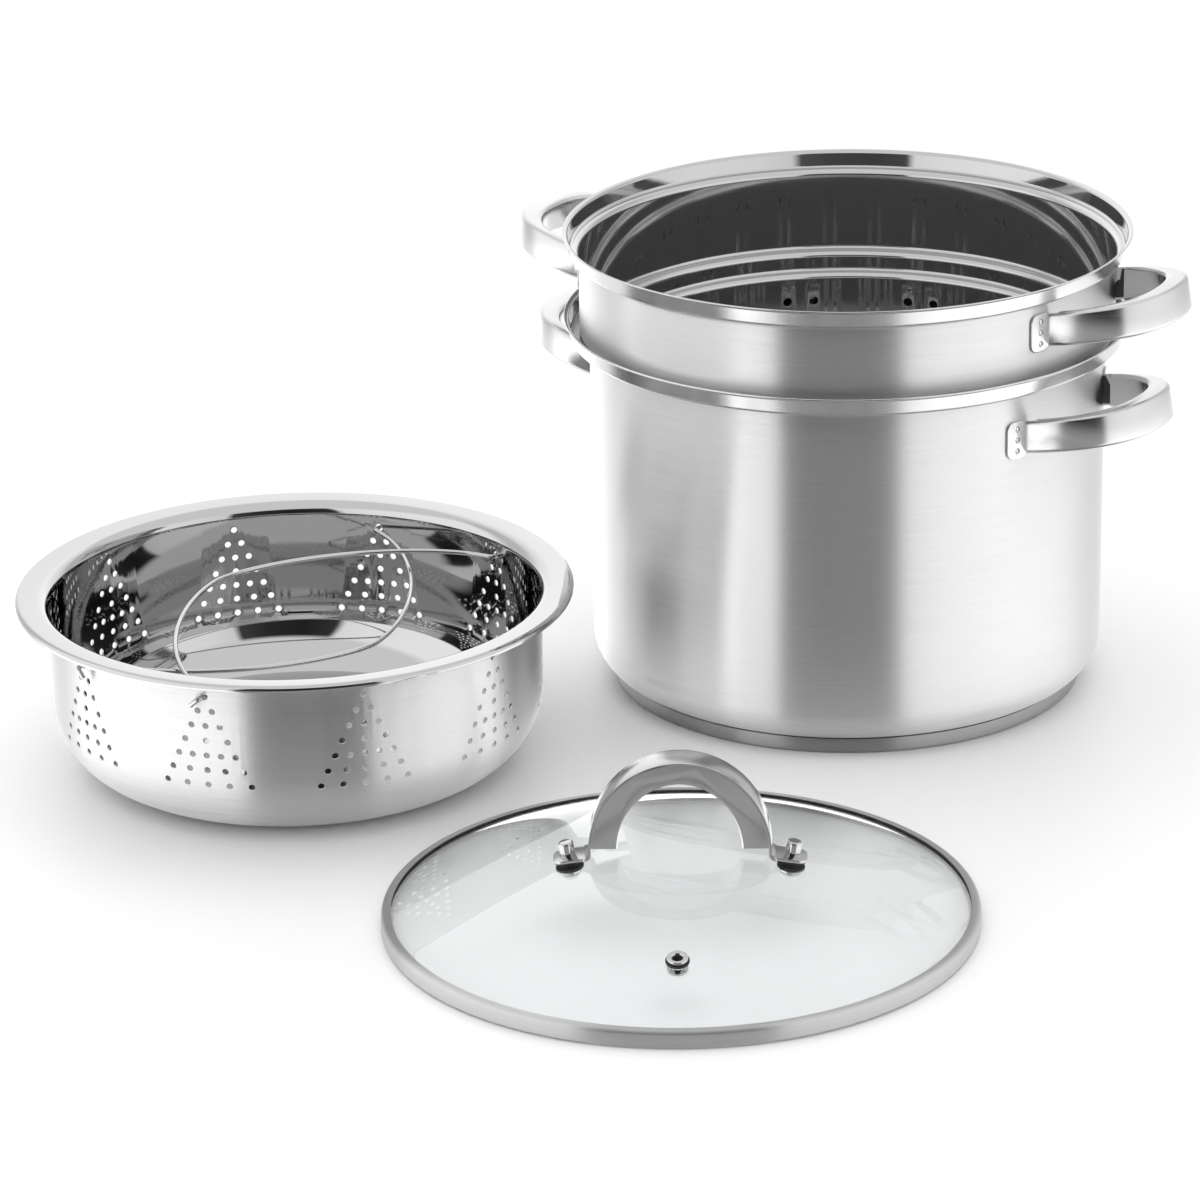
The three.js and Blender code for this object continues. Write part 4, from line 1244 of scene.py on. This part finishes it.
def arch_strip(arch, end, bend, base):
    """The open sheet that runs from the end of one foot over the arch to the other."""
    right = rounded_line([
        (end.x, end.z, 0),
        (arch.half_width, bend, arch.foot_round),
        (arch.half_width, base, 0),
    ])
    left = [Vector((-point.x, point.y)) for point in reversed(right)]
    over = arch_line(arch.half_width, arch.top - base, ELLIPSE, ARCH_STEPS)
    line = [*right[:-1], *(point + Vector((0, base)) for point in over), *left[1:]]
    strip = draw_line("arch", [Vector((point.x, arch.depth / 2, point.y)) for point in line])
    extrude((0, -arch.depth, 0))
    face_outwards()
    return strip


def arch_trim(arch, end):
    """What is kept of the strip: feet with round corners, and all of the arch."""
    tall = 2 * arch.top
    feet = rounded_plate(2 * end.x, 2 * arch.foot_half_width, arch.foot_corner)
    trim = raised("trim", feet, tall)
    span = 2 * (arch.half_width + arch.foot_round)
    wide = raised("wide", rounded_plate(span, arch.depth, arch.face_inset), tall)
    return combined(trim, wide, "UNION")


def arch_faces(arch, base, *materials):
    """The arch's two faces and its underside, hollow, and cut off level above the feet."""
    rise = arch.top - base
    inner_width = arch.half_width - arch.side_width
    inner_rise = rise - arch.top_width
    depth = arch.depth - 2 * arch.face_inset
    tuck = arch.sheet / 2
    outer = (arch.half_width - tuck, rise - tuck)
    faces = half_ring("face", outer, (inner_width, inner_rise), depth, base)
    painted(softened(coated(faces, *materials), arch.face_inset, segments=3), SECOND)
    hollow = half_ring(
        "hollow",
        (arch.half_width - arch.sheet, rise - arch.sheet),
        (inner_width + arch.sheet, inner_rise + arch.sheet),
        depth - 2 * arch.sheet,
        base,
    )
    cut(faces, hollow)
    below = (0, 0, arch.face_bottom - arch.half_width)
    bpy.ops.mesh.primitive_cube_add(size=2 * arch.half_width, location=below)
    return cut(faces, bpy.context.object)


class PASTAPOT_OT_lid_handle(Operator):
    """Models the arched handle of the lid"""

    bl_idname = "pasta_pot.lid_handle"
    bl_label = "Lid handle"

    def execute(self, context):
        settings = settings_of(context)
        arch = settings.arch
        dome = Dome(settings.lid)
        foot = dome.place(settings.lid.foot_spacing / 2)
        foot_top = foot_height(settings)
        end = foot @ Vector((arch.foot_end, 0, foot_top))
        nut = foot @ Vector((0, 0, foot_top))
        slope = (nut.z - end.z) / (end.x - nut.x)
        bend = nut.z + slope * (nut.x - arch.half_width)
        base = bend + arch.leg
        steel = satin_steel(settings, "arch_satin_steel", settings.finish.arch_steel)
        plain = satin_steel(settings, "face_satin_steel", settings.finish.face_steel)
        strip = coated(arch_strip(arch, end, bend, base), steel, plain)
        combined(thickened(strip, arch.sheet, UP), arch_trim(arch, end), "INTERSECT")
        softened(strip, width=arch.sheet / 5)
        combined(strip, arch_faces(arch, base, steel, plain), "UNION")
        placed(strip, dome.centre)
        finished(strip, "lid", "brushed_steel", "lid_handle")
        return {"FINISHED"}


def fastener_lines(settings, dome):
    """Sections of what holds a foot of the lid's handle, by kind, along the foot's axis."""
    lid = settings.lid
    bore = lid.screw_radius + lid.gap
    foot_top = foot_height(settings)
    nut_top = foot_top + lid.gap + lid.nut_height
    screw_top = foot_top + lid.nut_height / 2
    washer_top = under_glass(dome, lid, lid.foot_spacing / 2) - lid.gap
    head_top = washer_top - lid.washer - lid.gap
    head_low = head_top - lid.head
    return {
        "gasket": washer_line(bore, lid.gasket_radius, lid.gap, lid.gap + lid.gasket),
        "washer": washer_line(bore, lid.washer_radius, washer_top - lid.washer, washer_top),
        "nut": rounded_line([
            (lid.screw_radius, foot_top, 0),
            (lid.nut_radius, foot_top, 0),
            (lid.nut_radius, nut_top, lid.nut_edge),
            (0, nut_top, 0),
        ]),
        "screw": rounded_line([
            (0, head_low, 0),
            (lid.head_radius, head_low, lid.head / 2),
            (lid.head_radius, head_top, 0),
            (lid.screw_radius, head_top, 0),
            (lid.screw_radius, screw_top, 0),
            (0, screw_top, 0),
        ]),
    }


def eyelet_line(lid, dome):
    """Section of the vent's eyelet along its axis."""
    flange_low = 2 * lid.gap + lid.vent_gasket
    flange_high = flange_low + lid.vent_rise
    flare_top = under_glass(dome, lid, lid.vent_offset) - 2 * lid.gap
    flare_low = flare_top - lid.vent_rise
    edge = lid.vent_rise * EYELET_ROUND
    return rounded_line([
        (lid.vent_bore, flare_low, 0),
        (lid.vent_flare, flare_low, edge),
        (lid.vent_flare, flare_top, 0),
        (lid.vent_tube, flare_top, 0),
        (lid.vent_tube, flange_low, 0),
        (lid.vent_flange, flange_low, edge),
        (lid.vent_flange - edge, flange_high, edge),
        (lid.vent_bore, flange_high, 2 * edge),
        (lid.vent_bore, flare_low, 0),
    ])


class PASTAPOT_OT_lid_fittings(Operator):
    """Models the gaskets, nuts, screws and washers of the lid's handle, and the vent"""

    bl_idname = "pasta_pot.lid_fittings"
    bl_label = "Lid fittings"

    def execute(self, context):
        settings = settings_of(context)
        lid = settings.lid
        dome = Dome(lid)
        steel = polished_steel(settings, "fitting_polished_steel", LID_CENTRE)
        silicone = plain_finish("black_silicone", settings.finish.silicone, DULL)
        foot_out = lid.foot_spacing / 2
        for side, out in (("left", -foot_out), ("right", foot_out)):
            for kind, line in fastener_lines(settings, dome).items():
                soft = kind in ("gasket", "washer")
                material, slot = (silicone, "silicone") if soft else (steel, "polished_steel")
                piece = turned(f"{kind}_{side}", line, SMALL_TURN_STEPS)
                placed(piece, dome.in_frame(dome.place(out)))
                finished(coated(piece, material), "lid", slot, f"lid_{kind}_{side}")

        vent_place = dome.in_frame(dome.place(lid.vent_offset, -pi / 2))
        # Near-black painted shade for the inward faces of the eyelet's bore.
        painted_shade = plain_finish("vent_painted_shade", settings.finish.painted_shade, DULL)
        eyelet = coated(turned("eyelet", eyelet_line(lid, dome), SMALL_TURN_STEPS), steel, painted_shade)
        placed(lined(eyelet, SECOND), vent_place)
        finished(eyelet, "lid", "polished_steel", "vent_eyelet")
        ring_line = washer_line(
            lid.vent_tube + lid.gap, lid.vent_gasket_radius, lid.gap, lid.gap + lid.vent_gasket
        )
        ring = placed(turned("vent_ring", ring_line, SMALL_TURN_STEPS), vent_place)
        finished(coated(ring, silicone), "lid", "silicone", "vent_gasket")
        return {"FINISHED"}


# Stage

def soft_step(tree, value, edges):
    """A soft step from 0 to 1 as a value goes from one edge to the other."""
    return ranged(tree, value, edges, kind="SMOOTHSTEP")


def blended(tree, factor, first, second):
    """A number that goes from the first to the second by a factor."""
    return added(tree, "ShaderNodeMix", {0: factor, 2: first, 3: second}).outputs[0]


def studio_floor(stage):
    """A pale floor that fades to plain white away from the set, and that mirrors show only close by."""
    inputs = {"Base Color": stage.floor, "Roughness": FLOOR_ROUGHNESS}
    material, shader, tree = shader_of("studio_floor", inputs)
    path, seen, mirrored = ray_kinds(tree)
    place = added(tree, "ShaderNodeTexCoord", {}).outputs["Object"]
    away = added(tree, "ShaderNodeVectorMath", {0: place, 1: SET_MIDDLE}, operation="DISTANCE")
    fade = soft_step(tree, away.outputs["Value"], (stage.fade_start, stage.fade_end))
    white = added(tree, "ShaderNodeEmission", {}).outputs[0]
    faded = mixed_shader(tree, times(tree, fade, seen), shader.outputs[0], white)
    far = soft_step(tree, path["Ray Length"], (stage.mirror_start, stage.mirror_end))
    once = linked_math(tree, "LESS_THAN", path["Glossy Depth"], SECOND_MIRROR)
    hidden = times(tree, times(tree, mirrored, far), once)
    clear = added(tree, "ShaderNodeBsdfTransparent", {}).outputs[0]
    shown(tree, mixed_shader(tree, hidden, faded, clear))
    return material


def tent_cloth(stage):
    """Cloth by direction: bright sides, a dark gap at the camera, and a pale back, top and floor."""
    material, _, tree = shader_of("tent_cloth", {})
    turned_place = object_place(tree, "Rotation", (0, 0, -stage.azimuth))
    x, y, z = added(tree, "ShaderNodeSeparateXYZ", {0: turned_place}).outputs
    angle = linked_math(tree, "ARCTAN2", x, times(tree, y, -1))
    ramp = added(tree, "ShaderNodeValToRGB", {0: ranged(tree, angle, (-pi, pi))})
    stops = ramp.color_ramp.elements
    while len(stops) < len(TENT):
        stops.new(0.5)
    for stop, (degrees, light) in zip(stops, TENT):
        stop.position = degrees / 360 + 0.5
        stop.color = (light, light, light, 1)
    height = linked_math(tree, "DIVIDE", z, stage.tent_radius)
    depth = times(tree, height, -1)
    apron = times(tree, soft_step(tree, depth, APRON_STEP), stage.apron_light)
    upper = stage.side_light * stage.upper_share
    side_light = blended(tree, soft_step(tree, height, UPPER_STEP), stage.side_light, upper)
    cloth = times(tree, ramp.outputs["Color"], side_light)
    side = linked_math(tree, "MAXIMUM", cloth, apron)
    topped = blended(tree, soft_step(tree, height, TOP_STEP), side, stage.top_light)
    whole_light = blended(tree, soft_step(tree, depth, UNDER_STEP), topped, stage.under_light)
    shown(tree, added(tree, "ShaderNodeEmission", {"Strength": whole_light}).outputs[0])
    return material


def studio_tent(stage):
    """A tent round the set that only mirrors see."""
    low, high = CAD_BOUNDS
    bpy.ops.object.select_all(action="DESELECT")
    bpy.ops.mesh.primitive_uv_sphere_add(
        segments=TENT_SEGMENTS,
        ring_count=TENT_SEGMENTS // 2,
        radius=stage.tent_radius,
        location=((low[0] + high[0]) / 2, (low[1] + high[1]) / 2, 0),
    )
    tent = newly_added("tent")
    bpy.ops.object.shade_smooth()
    tent.visible_camera = False
    tent.visible_diffuse = False
    tent.visible_transmission = False
    tent.visible_shadow = False
    coated(tent, tent_cloth(stage))


def studio_air(stage):
    """Even white light from all round, and plain white to the camera."""
    world = bpy.data.worlds.new("studio_air")
    world.use_nodes = True
    tree = world.node_tree
    _, seen, _ = ray_kinds(tree)
    strength = linked_math(tree, "MAXIMUM", seen, stage.air)
    fed(tree.nodes["Background"], {"Color": (1, 1, 1, 1), "Strength": strength})
    return world


def soft_light(stage):
    """A square area lamp over the set, which mirrors don't see."""
    bpy.ops.object.light_add(type="AREA", location=stage.lamp)
    lamp = newly_added("top_softbox")
    lamp.data.shape = "SQUARE"
    lamp.data.size = stage.lamp_size
    lamp.data.energy = stage.lamp_power
    lamp.visible_glossy = False
    away = Vector(stage.lamp) - Vector(stage.lamp_target)
    lamp.rotation_euler = away.to_track_quat("Z", "Y").to_euler()


class PASTAPOT_OT_stage(Operator):
    """Sets the floor, the light and the camera"""

    bl_idname = "pasta_pot.stage"
    bl_label = "Stage"

    def execute(self, context):
        stage = settings_of(context).stage
        bpy.ops.object.select_all(action="DESELECT")
        bpy.ops.mesh.primitive_circle_add(vertices=FLOOR_SIDES, radius=stage.floor_radius, fill_type="NGON")
        floor = coated(newly_added("floor"), studio_floor(stage))
        studio_tent(stage)
        context.scene.world = studio_air(stage)
        soft_light(stage)
        bpy.ops.object.camera_add(location=stage.camera)
        camera = newly_added("camera")
        camera.data.lens = stage.focal * MILLIMETRES
        camera.data.sensor_width = SENSOR_WIDTH
        camera.data.clip_end = VIEW_END
        looking = Matrix.Rotation(stage.azimuth, 3, "Z") @ Matrix.Rotation(pi / 2 - stage.pitch, 3, "X")
        camera.rotation_euler = (looking @ Matrix.Rotation(stage.roll, 3, "Z")).to_euler()
        context.scene.camera = camera
        context.scene.view_settings.view_transform = "Standard"
        return {"FINISHED"}


class PASTAPOT_PT_panel(Panel):
    """Lists the steps that model the set"""

    bl_idname = "PASTAPOT_PT_panel"
    bl_label = "Pasta Pot"
    bl_space_type = "VIEW_3D"
    bl_region_type = "UI"
    bl_category = "Pasta Pot"

    def draw(self, context):
        for step in STEPS:
            self.layout.operator(step.bl_idname)


STEPS = (
    PASTAPOT_OT_pot,
    PASTAPOT_OT_insert,
    PASTAPOT_OT_handles,
    PASTAPOT_OT_basket,
    PASTAPOT_OT_bails,
    PASTAPOT_OT_lid,
    PASTAPOT_OT_lid_handle,
    PASTAPOT_OT_lid_fittings,
    PASTAPOT_OT_stage,
)

CLASSES = (
    RimSizes,
    PotSizes,
    InsertSizes,
    HandleSizes,
    BasketSizes,
    BailSizes,
    LidSizes,
    ArchSizes,
    Finishes,
    StageSizes,
    PastaPotSettings,
    *STEPS,
    PASTAPOT_PT_panel,
)


def register():
    for cls in CLASSES:
        bpy.utils.register_class(cls)
    bpy.types.Scene.pasta_pot = PointerProperty(type=PastaPotSettings)


def unregister():
    del bpy.types.Scene.pasta_pot
    for cls in reversed(CLASSES):
        bpy.utils.unregister_class(cls)


def main():
    register()
    bpy.ops.pasta_pot.pot()
    bpy.ops.pasta_pot.insert()
    bpy.ops.pasta_pot.handles()
    bpy.ops.pasta_pot.basket()
    bpy.ops.pasta_pot.bails()
    bpy.ops.pasta_pot.lid()
    bpy.ops.pasta_pot.lid_handle()
    bpy.ops.pasta_pot.lid_fittings()
    bpy.ops.pasta_pot.stage()


if __name__ == "__main__":
    main()
